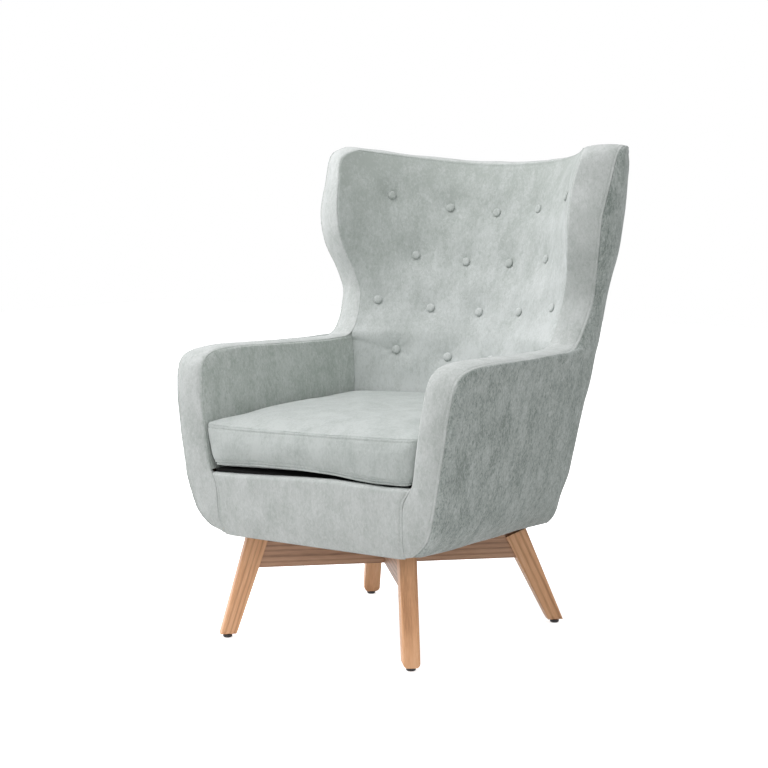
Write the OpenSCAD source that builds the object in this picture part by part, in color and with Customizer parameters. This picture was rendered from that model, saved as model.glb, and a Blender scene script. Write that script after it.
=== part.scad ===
// Wing armchair: a buttoned shell on a splayed wooden cross base, with a loose seat cushion.
// Millimetres. +Z is up, the front faces -Y and X runs across the seat.

/* [Overall size] */
// Height of the wing tops above the floor
wing_h = 1052; // [960:2:1120]
// Width over the wings
wing_w = 774; // [720:2:820]
// Height of the arm tops above the floor
arm_h = 612; // [580:2:650]
// Width over the arms
arm_w = 730; // [690:2:770]
// Depth of the body, front of the arms to the top of the back
body_d = 817; // [761:2:871]
// Height of the underside of the body above the floor
under_h = 226; // [200:2:250]

/* [Upholstery] */
// Thickness of the cover with its lining
cover_t = 3; // [2:0.5:4]
// Thickness of the padded border on the front edge
border_t = 12; // [9:1:15]
// Crown of the padded border
border_crown = 5; // [2:1:8]
// Thickness of the foam in the back
back_foam_t = 30; // [20:2:36]
// Thickness of the foam in the arms
arm_foam_t = 18; // [12:1:22]
// Depth of a button tuft
tuft_depth = 12; // [6:1:18]
// Reach of a button tuft along the cover
tuft_reach = 62; // [40:2:80]
// Rounding of the rear corners
corner_round = 66; // [30:2:80]
// Swell of the outer sides
side_crown = 8; // [0:1:14]
// Gap between layers of upholstery
layer_gap = 0.4; // [0.3:0.1:0.8]

/* [Buttons] */
// Diameter of a covered button
button_d = 21; // [16:1:26]
// Height of a covered button
button_h = 7; // [5:1:10]
// Distance of the outermost buttons from the middle
button_spread = 235; // [215:1:240]

/* [Cushion] */
// Height of its side walls
cushion_h = 85; // [70:1:100]
// Crown of its top
cushion_crown = 25; // [10:1:35]
// Crown of its underside
cushion_sag = 6; // [2:1:9]
// Swell of its side walls
cushion_swell = 4; // [1:0.5:6]
// Gap between the cushion and the arms
cushion_gap = 0.6; // [0.4:0.1:1.5]
// Gap between the cushion and the inside back
cushion_back_gap = 8; // [4:1:14]
// Setback of its front from the front seams
cushion_front_gap = 2; // [0:1:10]

/* [Frame] */
// Thickness of the back at its foot
back_low_t = 77; // [74:1:90]
// Thickness of the back at its top
back_top_t = 66; // [64:1:80]
// Height of the seat frame's rails
rail_h = 84; // [70:2:90]
// Thickness of its rails
rail_t = 24; // [20:1:28]
// Height of the seat frame above the underside of the body
rail_lift = 12; // [10:1:14]
// Thickness of the posts and top rails
post_t = 26; // [22:1:30]
// Thickness of the fibreboard panels
board_t = 4; // [3:0.5:5]
// Width of a webbing strap
strap_w = 50; // [40:2:60]
// Thickness of a webbing strap
strap_t = 2; // [1.5:0.5:3]
// Thickness of the seat deck's padding, its cloth included
deck_pad_t = 41; // [30:1:50]

/* [Wooden base] */
// Distance from the front of the body to the middle of the cross
cross_back = 292; // [270:2:310]
// Angle of the cross rails from the chair's width
cross_angle = 47.2; // [44:0.2:50]
// Height of a cross rail
cross_h = 75; // [60:1:85]
// Thickness of a cross rail
cross_t = 28; // [24:1:32]
// Thickness of a leg across its plane
leg_t = 36; // [30:1:40]
// Reach of a front leg at its top
front_top_reach = 286; // [275:1:295]
// Reach of a front foot
front_foot_reach = 354; // [330:1:370]
// Reach of a rear leg at its top
rear_top_reach = 268; // [255:1:280]
// Reach of a rear foot
rear_foot_reach = 371; // [350:1:390]
// Width of a front leg at its top
front_top_w = 47; // [40:1:54]
// Width of a rear leg at its top
rear_top_w = 56; // [46:1:60]
// Width of a leg at its foot
foot_w = 33; // [28:1:38]
// Rounding of the foot's corners
foot_round = 10; // [4:1:12]
// Rounding of the legs' outer long edges
leg_round = 6; // [2:1:9]

/* [Fittings] */
// Diameter of a glide
glide_d = 20; // [16:1:24]
// Height of a glide
glide_h = 8; // [6:1:12]
// Diameter of a base bolt
bolt_d = 8; // [6:1:10]
// Distance of a base bolt from the middle of the cross
bolt_reach = 160; // [150:2:164]

/* [Hidden] */

fabric = "#aab6af";
lining = "#3a3a3a";
foam = "#e8dca8";
timber = "#c89f78";
pine = "#d9be93";
fibre = "#9c7b52";
steel = "#a9adb2";
plastic = "#2c2c2e";
overrun = 1;
fit_gap = 0.2;
bolt_play = 1;
post_gap = 2;
body_front = -body_d / 2 + border_crown;
body_span = body_d - border_crown;
cross_y = body_front + cross_back;
frame_low = under_h + rail_lift;
frame_top = frame_low + rail_h;
pad_low = frame_top + 2 * strap_t;
deck_h = pad_low + deck_pad_t;

// A guide point is [share of the half width, share of the depth, level], where the level
// runs from 0 at the underside to 1 at the arm tops and 2 at the wing tops.
function level_z(a) = a < 1 ? under_h + a * (arm_h - under_h) : arm_h + (a - 1) * (wing_h - arm_h);
function level_half(a) = (arm_w + max(0, a - 1) * (wing_w - arm_w)) / 2;
function placed(p) = [p.x * level_half(p.z), body_front + p.y * body_span, level_z(p.z)];

// Seventeen steps lead up each guide: the front edge up to the arm, back along the arm top
// from 6 to 10, up the wing from 10 to 16, and round its top corner. A place on a guide counts
// steps and parts of a step, and isn't a length.
last_step = 17;
wing_end_share = 16;
arm_seat_share = 9.8;
inner_seam_shares = [[0.647, 0.021, 0], [0.655, 0.006, 0.114], [0.666, 0, 0.288],
    [0.718, 0, 0.386], [0.748, 0, 0.58], [0.781, 0.004, 0.8], [0.803, 0.028, 0.96],
    [0.802, 0.117, 1.008], [0.783, 0.333, 1.002], [0.753, 0.542, 1], [0.727, 0.629, 1.032],
    [0.733, 0.676, 1.208], [0.765, 0.669, 1.345], [0.801, 0.639, 1.486],
    [0.812, 0.626, 1.642], [0.818, 0.639, 1.806], [0.83, 0.665, 1.936], [0.781, 0.718, 1.979]];
outer_seam_shares = [[0.685, 0.026, 0.003], [0.811, 0.011, 0.114], [0.874, 0.001, 0.288],
    [0.893, 0, 0.386], [0.929, 0.001, 0.58], [0.962, 0.006, 0.8], [0.986, 0.028, 0.946],
    [1, 0.117, 0.997], [0.973, 0.333, 0.995], [0.934, 0.548, 0.99], [0.903, 0.643, 1.023],
    [0.912, 0.7, 1.208], [0.939, 0.692, 1.345], [0.98, 0.666, 1.486], [0.997, 0.661, 1.642],
    [1, 0.692, 1.806], [1, 0.722, 1.945], [0.98, 0.77, 1.989]];
rear_corner_shares = [[0.647, 0.677, 0], [0.737, 0.69, 0.093], [0.792, 0.7, 0.256],
    [0.816, 0.711, 0.373], [0.841, 0.73, 0.528], [0.86, 0.749, 0.671], [0.868, 0.767, 0.749],
    [0.868, 0.782, 0.826], [0.868, 0.792, 0.904], [0.871, 0.8, 0.974], [0.883, 0.809, 1.046],
    [0.91, 0.812, 1.2], [0.938, 0.813, 1.326], [0.972, 0.814, 1.475], [0.992, 0.814, 1.623],
    [1, 0.814, 1.772], [0.997, 0.82, 1.904], [0.97, 0.842, 1.977]];
crease_shares = [[0.658, 0.573, 0], [0.666, 0.581, 0.109], [0.677, 0.597, 0.256],
    [0.685, 0.606, 0.373], [0.696, 0.616, 0.503], [0.704, 0.621, 0.611],
    [0.715, 0.626, 0.723], [0.721, 0.628, 0.813], [0.729, 0.629, 0.896],
    [0.734, 0.629, 0.974]];
inside_level_shares = [0, 0.104, 0.238, 0.334, 0.451, 0.554, 0.658, 0.749, 0.826, 0.886,
    1.014, 1.137, 1.263, 1.388, 1.518, 1.648, 1.79, 1.904];
outside_level_shares = [0, 0.093, 0.256, 0.373, 0.528, 0.671, 0.749, 0.826, 0.904, 0.974,
    1.046, 1.189, 1.315, 1.441, 1.571, 1.715, 1.836, 1.9];
// Depth shares of the outside middle line at the underside and at level 2
outside_lean_shares = [0.702, 1.018];

inner_seam = [for (p = inner_seam_shares) placed(p)];
outer_seam = [for (p = outer_seam_shares) placed(p)];
rear_corner = [for (p = rear_corner_shares) placed(p)];
crease = [for (p = crease_shares) placed(p)];
crease_count = len(crease);
back_edge = [for (i = [0:last_step]) i < crease_count ? crease[i] : inner_seam[i]];
function lean_y(z) = let (k = (z - under_h) / (wing_h - under_h))
    body_front + body_span * mix(outside_lean_shares[0], outside_lean_shares[1], k);
function back_t(z) = mix(back_low_t, back_top_t, (z - under_h) / (wing_h - under_h));
inside_middle = [for (a = inside_level_shares) let (z = level_z(a))
    [0, lean_y(z) - back_t(z), z]];
outside_middle = [for (a = outside_level_shares) let (z = level_z(a))
    [0, min(body_d / 2, lean_y(z)), z]];

// A smooth curve through the guide points: step t may be a fraction
function curve(points, t) = let (
    n = len(points) - 1, k = max(0, min(n - 1, floor(t))), u = t - k,
    a = points[max(0, k - 1)], b = points[k], c = points[k + 1], d = points[min(n, k + 2)])
    0.5 * (2 * b + (c - a) * u + (2 * a - 5 * b + 4 * c - d) * u * u
    + (3 * b - a - 3 * c + d) * u * u * u);
function mix(a, b, k) = a + (b - a) * k;
function clamp01(k) = max(0, min(1, k));
function ease(k) = let (c = clamp01(k)) c * c * (3 - 2 * c);
function unit(v) = v / max(norm(v), 1e-9);
function run(a, b, n) = [for (i = [0:n]) mix(a, b, i / n)];

// The back is a bow between its edges; its power falls from 2.8 at the wings to 1.75 below
function bow_power(t) = 1.75 + 1.05 * ease((t - 11) / 2);
function inside_back(share, t) = let (
    e = curve(back_edge, t), m = curve(inside_middle, t), q = abs(share))
    [share * e.x, m.y - (m.y - e.y) * pow(q, bow_power(t)), m.z + (e.z - m.z) * q * q];
function outside_back(share, t) = let (
    e = curve(rear_corner, t), m = curve(outside_middle, t), q = abs(share))
    [share * e.x, m.y - (m.y - e.y) * pow(q, 3), m.z + (e.z - m.z) * q * q];
function inside_arm(s, t) = mix(curve(inner_seam, t), curve(back_edge, t), s);
function side_sharp(s, t) = mix(curve(outer_seam, t), curve(rear_corner, t), s)
    + [side_crown * sin(180 * s), 0, 0];

// The outside runs from the border (0) to the rear corner (1) and the middle (2),
// and the corner is rounded by a curve that leaves the walls at the named distance
function outside_sharp(u, t) = u < 1 ? side_sharp(u, t) : outside_back(2 - u, t);
function outside(u, t) = let (
    r = corner_round * (0.5 + 0.5 * ease(t / 5)),
    c = curve(rear_corner, t),
    a = 1 - min(0.9, r / norm(c - curve(outer_seam, t))),
    b = 1 + r / norm(c - curve(outside_middle, t)),
    k = u < 1 ? (u - a) / (1 - a) / 2 : (1 + (u - 1) / (b - 1)) / 2)
    k <= 0 || k >= 1 ? outside_sharp(u, t)
    : (1 - k) * (1 - k) * outside_sharp(a, t) + 2 * k * (1 - k) * c
        + k * k * outside_sharp(b, t);

// Unit normals of a grid of points, by differences between neighbours
function grid_normal(g, i, j) = let (n = len(g) - 1, m = len(g[0]) - 1,
    along = g[min(n, i + 1)][j] - g[max(0, i - 1)][j],
    across = g[i][min(m, j + 1)] - g[i][max(0, j - 1)])
    unit(cross(along, across));
function grid_moved(g, d) = [for (i = [0:len(g) - 1]) [for (j = [0:len(g[0]) - 1])
    g[i][j] + d * grid_normal(g, i, j)]];
function joined(lists) = [for (list = lists) for (p = list) p];

// A closed solid between two grids of the same size
module sheet(front, back) {
    rows = len(front);
    cols = len(front[0]);
    all = rows * cols;
    edge = concat([for (j = [0:cols - 1]) j], [for (i = [1:rows - 1]) i * cols + cols - 1],
        [for (j = [cols - 2:-1:0]) (rows - 1) * cols + j], [for (i = [rows - 2:-1:1]) i * cols]);
    n = len(edge);
    quads = [for (i = [0:rows - 2]) for (j = [0:cols - 2])
        [i * cols + j, i * cols + j + 1, (i + 1) * cols + j + 1, (i + 1) * cols + j]];
    faces = concat(
        [for (q = quads) for (f = [[q[2], q[1], q[0]], [q[3], q[2], q[0]]]) f],
        [for (q = quads) for (f = [[q[0], q[1], q[2]], [q[0], q[2], q[3]]])
            [f[0] + all, f[1] + all, f[2] + all]],
        [for (k = [0:n - 1]) let (a = edge[k], b = edge[(k + 1) % n])
            for (f = [[a, b, a + all], [b, b + all, a + all]]) f]);
    polyhedron(points = concat(joined(front), joined(back)), faces = faces, convexity = 8);
}

// A closed solid through rings of the same count, with flat ends or, closed, without ends
module rings(list, closed = false) {
    n = len(list);
    m = len(list[0]);
    walls = [for (i = [0:(closed ? n - 1 : n - 2)]) for (j = [0:m - 1])
        let (a = i * m + j, b = i * m + (j + 1) % m,
            c = (i + 1) % n * m + (j + 1) % m, d = (i + 1) % n * m + j)
        for (f = [[a, b, c], [a, c, d]]) f];
    ends = closed ? [] : concat([for (j = [1:m - 2]) [0, j + 1, j]],
        [for (j = [1:m - 2]) [(n - 1) * m, (n - 1) * m + j, (n - 1) * m + j + 1]]);
    polyhedron(points = joined(list), faces = concat(walls, ends), convexity = 8);
}

module both(left) {
    if (left) mirror([1, 0, 0]) children();
    else children();
}

// Wooden base
module in_leg_plane(angle) {
    translate([0, cross_y, 0]) rotate([0, 0, angle]) rotate([90, 0, 0]) children();
}

function leg_line(top, foot, z) = mix(foot, top, (z - glide_h) / (under_h - glide_h));
function front_inner(z) = leg_line(front_top_reach - front_top_w / 2,
    front_foot_reach - foot_w / 2, z);
function rear_inner(z) = leg_line(rear_top_reach - rear_top_w / 2,
    rear_foot_reach - foot_w / 2, z);
cross_low = under_h - cross_h;
tenon_t = cross_t * 0.4;
tenon_h = cross_h * 0.6;
tenon_l = front_top_w * 0.45;
washer_d = bolt_d * 2.5;
washer_t = bolt_d / 4;
bolt_head_h = bolt_d * 0.6;
bolt_sink = cross_h * 0.45;
stretcher_h = rail_lift + rail_h * 0.2;
nut_h = bolt_d;

module tenons(grow) {
    for (end = [[1, front_inner(under_h - cross_h / 2)], [-1, rear_inner(under_h - cross_h / 2)]])
        translate([end[0] * end[1], under_h - cross_h / 2, 0])
            cube([2 * tenon_l, tenon_h + grow, tenon_t + grow], center = true);
}

module cross_rail(angle, lap_up) {
    lap_h = cross_h / 2;
    lap_z = lap_up ? under_h - lap_h / 2 + overrun : cross_low + lap_h / 2 - overrun;
    color(timber) difference() {
        in_leg_plane(angle) {
            translate([0, 0, -cross_t / 2]) linear_extrude(cross_t) polygon([
                [-rear_inner(cross_low), cross_low], [front_inner(cross_low), cross_low],
                [front_inner(under_h), under_h], [-rear_inner(under_h), under_h]]);
            tenons(0);
        }
        translate([0, cross_y, lap_z]) rotate([0, 0, 180 - angle])
            cube([4 * cross_t, cross_t + fit_gap, lap_h + 2 * overrun], center = true);
        bolt_places(angle) translate([0, 0, cross_low - overrun]) {
            cylinder(d = bolt_d + bolt_play, h = cross_h + 2 * overrun, $fn = 48);
            cylinder(d = washer_d + bolt_play, h = bolt_sink + overrun, $fn = 48);
        }
    }
}

module bolt_places(angle) {
    for (side = [-1, 1])
        translate([0, cross_y, 0]) rotate([0, 0, angle]) translate([side * bolt_reach, 0, 0])
            children();
}

module all_bolt_places() {
    bolt_places(cross_angle) children();
    bolt_places(180 - cross_angle) children();
}

module leg(angle, top_reach, foot_reach, top_w, rear = false) {
    slant = atan2(foot_reach + foot_w / 2 - top_reach - top_w / 2, under_h - glide_h);
    color(timber) difference() {
        intersection() {
            in_leg_plane(angle) translate([0, 0, -leg_t / 2]) linear_extrude(leg_t) polygon([
                [foot_reach - foot_w / 2, glide_h], [foot_reach + foot_w / 2, glide_h],
                [top_reach + top_w / 2, under_h], [top_reach - top_w / 2, under_h]]);
            translate([0, cross_y, 0]) rotate([0, 0, angle]) rotate([90, 0, 90])
                linear_extrude(2 * foot_reach) union() {
                    translate([-leg_t / 2, glide_h + foot_round])
                        square([leg_t, under_h - glide_h - foot_round + overrun]);
                    for (x = [-1, 1])
                        translate([x * (leg_t / 2 - foot_round), glide_h + foot_round])
                            circle(r = foot_round, $fn = 48);
                    translate([-leg_t / 2 + foot_round, glide_h])
                        square([leg_t - 2 * foot_round, foot_round]);
                }
            translate([0, cross_y, 0]) rotate([0, 0, angle])
                translate([foot_reach + foot_w / 2, 0, glide_h]) rotate([0, -slant, 0])
                    translate([0, 0, -foot_w]) linear_extrude(under_h + foot_w) union() {
                        translate([-2 * top_w, -leg_t / 2])
                            square([2 * top_w - leg_round, leg_t]);
                        for (y = [-1, 1]) translate([-leg_round, y * (leg_t / 2 - leg_round)])
                            circle(r = leg_round, $fn = 48);
                        translate([-leg_round, -leg_t / 2 + leg_round])
                            square([leg_round, leg_t - 2 * leg_round]);
                    }
        }
        in_leg_plane(rear ? angle + 180 : angle) tenons(fit_gap);
        translate([0, cross_y, 0]) rotate([0, 0, angle]) translate([foot_reach, 0, 0])
            cylinder(d = nail_d, h = glide_h + nail_l, $fn = 32);
    }
}

module front_leg(angle) { leg(angle, front_top_reach, front_foot_reach, front_top_w); }
module rear_leg(angle) { leg(angle, rear_top_reach, rear_foot_reach, rear_top_w, true); }

nail_d = glide_d * 0.2;
nail_l = glide_d * 0.8;
module foot_places() {
    for (place = [[-cross_angle, front_foot_reach], [180 + cross_angle, front_foot_reach],
        [cross_angle, rear_foot_reach], [180 - cross_angle, rear_foot_reach]])
        translate([0, cross_y, 0]) rotate([0, 0, place[0]]) translate([place[1], 0, 0])
            children();
}

module glides() {
    r = glide_d / 2;
    edge = glide_h * 0.25;
    color(plastic) foot_places() rotate_extrude($fn = 64) polygon([
        [0, 0], [r - edge, 0], [r, edge], [r, glide_h - edge], [r * 0.85, glide_h],
        [nail_d / 2, glide_h], [nail_d / 2, glide_h / 2], [0, glide_h / 2]]);
}

module glide_nails() {
    color(steel) foot_places() translate([0, 0, glide_h / 2])
        cylinder(d = nail_d, h = glide_h / 2 + nail_l, $fn = 32);
}

module base_bolts() {
    color(steel) all_bolt_places() {
        translate([0, 0, cross_low + bolt_sink - washer_t - bolt_head_h])
            cylinder(d = bolt_d * 1.6, h = bolt_head_h, $fn = 6);
        translate([0, 0, cross_low + bolt_sink - washer_t - overrun])
            cylinder(d = bolt_d, h = cross_h - bolt_sink + washer_t + overrun + stretcher_h, $fn = 48);
    }
}

module base_washers() {
    color(steel) all_bolt_places() translate([0, 0, cross_low + bolt_sink - washer_t])
        difference() {
            cylinder(d = washer_d, h = washer_t, $fn = 48);
            translate([0, 0, -overrun])
                cylinder(d = bolt_d + fit_gap, h = washer_t + 2 * overrun, $fn = 48);
        }
}

module tee_nuts() {
    color(steel) all_bolt_places() translate([0, 0, under_h + stretcher_h - nut_h]) difference() {
        union() {
            cylinder(d = bolt_d * 1.3, h = nut_h, $fn = 48);
            translate([0, 0, nut_h]) cylinder(d = washer_d, h = washer_t, $fn = 48);
        }
        translate([0, 0, -overrun])
            cylinder(d = bolt_d + fit_gap, h = nut_h + washer_t + 2 * overrun, $fn = 48);
    }
}

// Seat frame
frame_front = body_front + border_t + cover_t + layer_gap;
frame_rear = crease[0].y - cover_t;
seat_frame_w = 2 * (inner_seam[1].x - cover_t);
frame_in = seat_frame_w / 2 - rail_t;
bolt_y = bolt_reach * sin(cross_angle);
stretcher_w = strap_w * 1.1;
cloth_t = cover_t / 3;
dust_low = under_h;

module stretcher(y) {
    color(pine) difference() {
        translate([-frame_in, y - stretcher_w / 2, dust_low + cloth_t])
            cube([2 * frame_in, stretcher_w, stretcher_h - cloth_t]);
        all_bolt_places() {
            translate([0, 0, under_h])
                cylinder(d = bolt_d + bolt_play, h = stretcher_h + overrun, $fn = 48);
            translate([0, 0, under_h + stretcher_h - nut_h])
                cylinder(d = bolt_d * 1.3, h = nut_h + overrun, $fn = 48);
        }
    }
}

module front_stretcher() { stretcher(cross_y - bolt_y); }
module rear_stretcher() { stretcher(cross_y + bolt_y); }

module front_rail() {
    color(pine) translate([-seat_frame_w / 2, frame_front, frame_low])
        cube([seat_frame_w, rail_t, rail_h]);
}

module rear_rail() {
    color(pine) translate([-seat_frame_w / 2, frame_rear - rail_t, frame_low])
        cube([seat_frame_w, rail_t, rail_h]);
}

module side_rail() {
    color(pine) translate([frame_in, frame_front + rail_t, frame_low])
        cube([rail_t, frame_rear - frame_front - 2 * rail_t, rail_h]);
}

block_l = rail_h * 0.9;
module corner_blocks() {
    color(pine) for (x = [-1, 1]) for (end = [[frame_front + rail_t, 1], [frame_rear - rail_t, -1]])
        translate([x * frame_in, end[0], frame_top - rail_h / 2]) scale([-x, end[1], 1])
            linear_extrude(rail_h / 2 - strap_t) polygon([[0, 0], [block_l, 0], [0, block_l]]);
}

module seat_straps_long() {
    count = 5;
    pitch = 2 * frame_in / count;
    color(lining) for (i = [0:count - 1])
        translate([-frame_in + (i + 0.5) * pitch - strap_w / 2, frame_front, frame_top])
            cube([strap_w, frame_rear - frame_front, strap_t]);
}

module seat_straps_cross() {
    count = 4;
    low = frame_front + rail_t;
    pitch = (frame_rear - rail_t - low) / count;
    color(lining) for (i = [0:count - 1])
        translate([-seat_frame_w / 2, low + (i + 0.5) * pitch - strap_w / 2, frame_top + strap_t])
            cube([seat_frame_w, strap_w, strap_t]);
}

// The deck follows the inside of the shell at its own height
function step_of_level(table, z) = lookup(z, [for (i = [0:len(table) - 1]) [table[i].z, i]]);
deck_step = step_of_level(inner_seam, deck_h);
deck_back_step = step_of_level(crease, deck_h);
module deck_shape(inset) {
    e = curve(crease, deck_back_step);
    m = curve(inside_middle, step_of_level(inside_middle, deck_h));
    f = curve(inner_seam, 2);
    front = body_front + border_t + 2 * cover_t;
    polygon(concat([[-f.x + inset, front], [f.x - inset, front]],
        [for (q = run(1, -1, 12)) [q * (e.x - inset - cover_t), e.y - inset - cover_t
            + (m.y - e.y) * (1 - pow(abs(q), bow_power(0)))]]));
}
module deck_pad() {
    color(foam) translate([0, 0, pad_low])
        linear_extrude(deck_h - cloth_t - pad_low) deck_shape(cover_t);
}
module deck_cloth() {
    color(lining) translate([0, 0, deck_h - cloth_t]) linear_extrude(cloth_t) deck_shape(cover_t);
}
function under_edge(inset) = let (half = concat(
        [[inner_seam[0].x, body_front + border_t + cover_t]],
        [for (u = run(0.06, 1.9, 16)) let (p = outside(u, 0.02)) [p.x - inset, p.y - inset * u / 2]]))
    concat(half, reversed([for (p = half) [-p.x, p.y]]));
module dust_cover() {
    color(lining) difference() {
        translate([0, 0, dust_low]) linear_extrude(cloth_t) polygon(under_edge(2 * cover_t));
        all_bolt_places() cylinder(d = bolt_d + bolt_play, h = under_h + overrun, $fn = 48);
    }
}

// Front panel below the cushion, between the two borders
module front_panel() {
    crown = border_crown * 0.3;
    steps = run(deck_step, 0.15, 6);
    front = [for (t = steps) [for (q = run(1, -1, 10)) let (p = curve(inner_seam, t))
        [q * (p.x + cover_t - 2 * layer_gap), p.y + cover_t * pow(q, 4) - crown * (1 - q * q),
            p.z]]];
    back = [for (row = front) [for (p = row) [p.x, body_front + border_t + cover_t, p.z]]];
    color(fabric) sheet(front, back);
}

// Border: a padded strip between the two seams of the front edge
function border_axes(t) = let (
    a = curve(inner_seam, t), b = curve(outer_seam, t), h = 0.1,
    t0 = max(0, t - h), t1 = min(last_step, t + h),
    along = unit(curve(inner_seam, t1) + curve(outer_seam, t1)
        - curve(inner_seam, t0) - curve(outer_seam, t0)),
    u = unit(b - a))
    [a, b, u, unit(cross(u, along))];
function border_ring(t) = let (
    f = border_axes(t), a = f[0] + f[2] * (cover_t + layer_gap),
    b = f[1] - f[2] * (cover_t + layer_gap),
    fade = ease(4 * norm(b - a) / border_t - 4), crown = border_crown * fade)
    concat([for (k = run(0, 1, 6)) mix(a, b, k) + f[3] * crown * (1 - pow(2 * k - 1, 2))],
        [b - f[3] * border_t - f[2] * 2 * cover_t, a - f[3] * border_t + f[2] * 2 * cover_t]);
border_step_shares = concat(run(0.1, 5, 12), [5.4, 5.7, 6, 6.3, 6.6, 7, 7.5, 8, 8.5, 9, 9.5, 9.8],
    [10.1, 10.4, 10.7], run(11, 16, 10), [16.3, 16.6, 16.8, 17]);
module border() { color(fabric) rings([for (t = reversed(border_step_shares)) border_ring(t)]); }

// The same strip carried over the top of the back, from wing to wing
function border_top_share(q) = q > 0.86 ? (1 - q) / 0.14 : 1 + (0.86 - q) / 0.86;
function top_pair(share) = let (q = abs(share), side = share < 0 ? -1 : 1,
    a = inside_back(q, last_step), b = outside(border_top_share(q), last_step))
    [[side * a.x, a.y, a.z], [side * b.x, b.y, b.z]];
function top_ring(share) = let (
    h = 0.02, p = top_pair(share), p0 = top_pair(max(-1, share - h)),
    p1 = top_pair(min(1, share + h)), u = unit(p[1] - p[0]),
    n = unit(cross(unit(p0[0] + p0[1] - p1[0] - p1[1]), u)), top = n.z < 0 ? -n : n,
    wing = border_axes(last_step)[3],
    up = unit(mix(top, [share < 0 ? -wing.x : wing.x, wing.y, wing.z],
        ease((abs(share) - 0.9) / 0.1))),
    a = p[0] + u * (cover_t + layer_gap), b = p[1] - u * (cover_t + post_gap))
    concat([for (k = run(0, 1, 6)) mix(a, b, k) + up * border_crown * (1 - pow(2 * k - 1, 2))],
        [b - up * border_t - u * 4 * cover_t, a - up * border_t + u * cover_t]);
module top_border() {
    color(fabric)
        rings([for (q = concat([-1, -0.975], run(-0.95, 0.95, 20), [0.975, 1])) top_ring(q)]);
}

// Outside covers and the fibreboard under them
corner_seam_share = 0.003;
side_col_shares = concat(run(0, 0.7, 4), [0.8, 0.9, 1 - corner_seam_share]);
outer_row_shares = concat([0.02, 0.5], run(1, 3.5, 5), run(4, last_step, 13));
module outside_cover() {
    g = [for (t = outer_row_shares) [for (u = side_col_shares) outside(u, t)]];
    color(fabric) sheet(g, grid_moved(g, cover_t));
}
back_col_shares = concat([1 + corner_seam_share], run(1.05, 1.3, 5), run(1.4, 2, 4));
function reversed(list) = [for (i = [len(list) - 1:-1:0]) list[i]];
function whole_grid(cols, rows) = [for (t = rows) let (half = [for (u = cols) outside(u, t)])
    concat(half, reversed([for (i = [0:len(half) - 2]) [-half[i].x, half[i].y, half[i].z]]))];
module outside_back_cover() {
    g = whole_grid(back_col_shares, outer_row_shares);
    color(fabric) sheet(g, grid_moved(g, cover_t));
}
board_row_shares = concat([0.6], run(1, 15, 14), [15.7]);
module side_board() {
    g = grid_moved([for (t = run(1, 5.5, 6))
        let (edge = (border_t + board_t) / norm(curve(rear_corner, t) - curve(outer_seam, t)))
        [for (u = concat([edge], run(0.175, 0.7, 3), [0.8, 0.9])) outside(u, t)]],
        cover_t + 4 * layer_gap);
    color(fibre) sheet(g, grid_moved(g, board_t));
}
module back_board() {
    g = whole_grid(concat([1.05], [for (u = back_col_shares) if (u > 1.05) u]), board_row_shares);
    h = grid_moved(g, cover_t + 4 * layer_gap);
    color(fibre) sheet(h, grid_moved(h, board_t));
}

// Inside covers and foam
arm_row_shares = concat([deck_step + 0.06, 3.5], run(4, 9, 10), [9.5, arm_seat_share]);
module inside_arm_cover() {
    g = [for (t = arm_row_shares) [for (s = run(0, 0.985, 5)) inside_arm(s, t)]];
    color(fabric) sheet(grid_moved(g, -cover_t), g);
}
module arm_foam() {
    g = [for (t = [for (t = arm_row_shares) if (t < 8.4) t]) let (f = border_axes(t),
        top = f[0] - f[3] * (border_t + cover_t + layer_gap), rear = inside_arm(0.95, t))
        [for (s = run(0, 1, 3)) mix(top, rear, s)]];
    near = grid_moved(g, -cover_t - 2 * layer_gap);
    color(foam) sheet(grid_moved(near, -arm_foam_t), near);
}

// Buttons stand in four staggered rows; a place is [share of the half spread, guide step]
button_row_shares = [9, 11, 13, 15];
button_places = [for (i = [0:3]) for (k = i % 2 == 0 ? [-0.75, -0.25, 0.25, 0.75]
    : [-1, -0.51, 0, 0.51, 1]) [k, button_row_shares[i]]];
function button_share(place) = place[0] * button_spread / curve(back_edge, place[1]).x;
button_points = [for (b = button_places) inside_back(button_share(b), b[1])];
function tuft_lift(p) = let (near = min([for (b = button_points) norm(p - b)]))
    tuft_depth * ease((near - button_d / 4) / tuft_reach);
function edge_fade(q, t) = ease((1 - abs(q)) / 0.22) * ease((t - 6.5) / 2) * ease((17 - t) / 1.2);
cover_step_shares = concat(run(4, 7, 3), run(7.5, mix(wing_end_share, last_step, 0.5), 18), [last_step]);
cover_mark_shares = [-1, -0.875, -0.75, -0.625, -0.5, -0.375, -0.25, -0.125];
function cover_columns(t) = let (x = button_spread / curve(back_edge, t).x,
    half = [for (m = cover_mark_shares) m * x])
    concat([-0.995, mix(-0.995, -x, 0.5)], half, [0], -reversed(half),
        [mix(0.995, x, 0.5), 0.995]);
function lifted(q, t) = let (p = inside_back(q, t), h = 0.02,
    across = inside_back(q + h, t) - inside_back(q - h, t),
    along = inside_back(q, min(last_step, t + h)) - inside_back(q, t - h),
    n = unit(cross(across, along)))
    p - (n.y > 0 ? n : -n) * tuft_lift(p) * edge_fade(q, t);
module inside_back_cover() {
    flat = [for (t = cover_step_shares) [for (q = cover_columns(t)) inside_back(q, t)]];
    front = [for (t = cover_step_shares) [for (q = cover_columns(t)) lifted(q, t)]];
    color(fabric) sheet(front, grid_moved(flat, cover_t));
}
foam_col_shares = run(-0.93, 0.93, 20);
rail_col_shares = [for (i = [1:19]) foam_col_shares[i]];
foam_front = cover_t + 6 * layer_gap;
foam_back = foam_front + back_foam_t;
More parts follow.
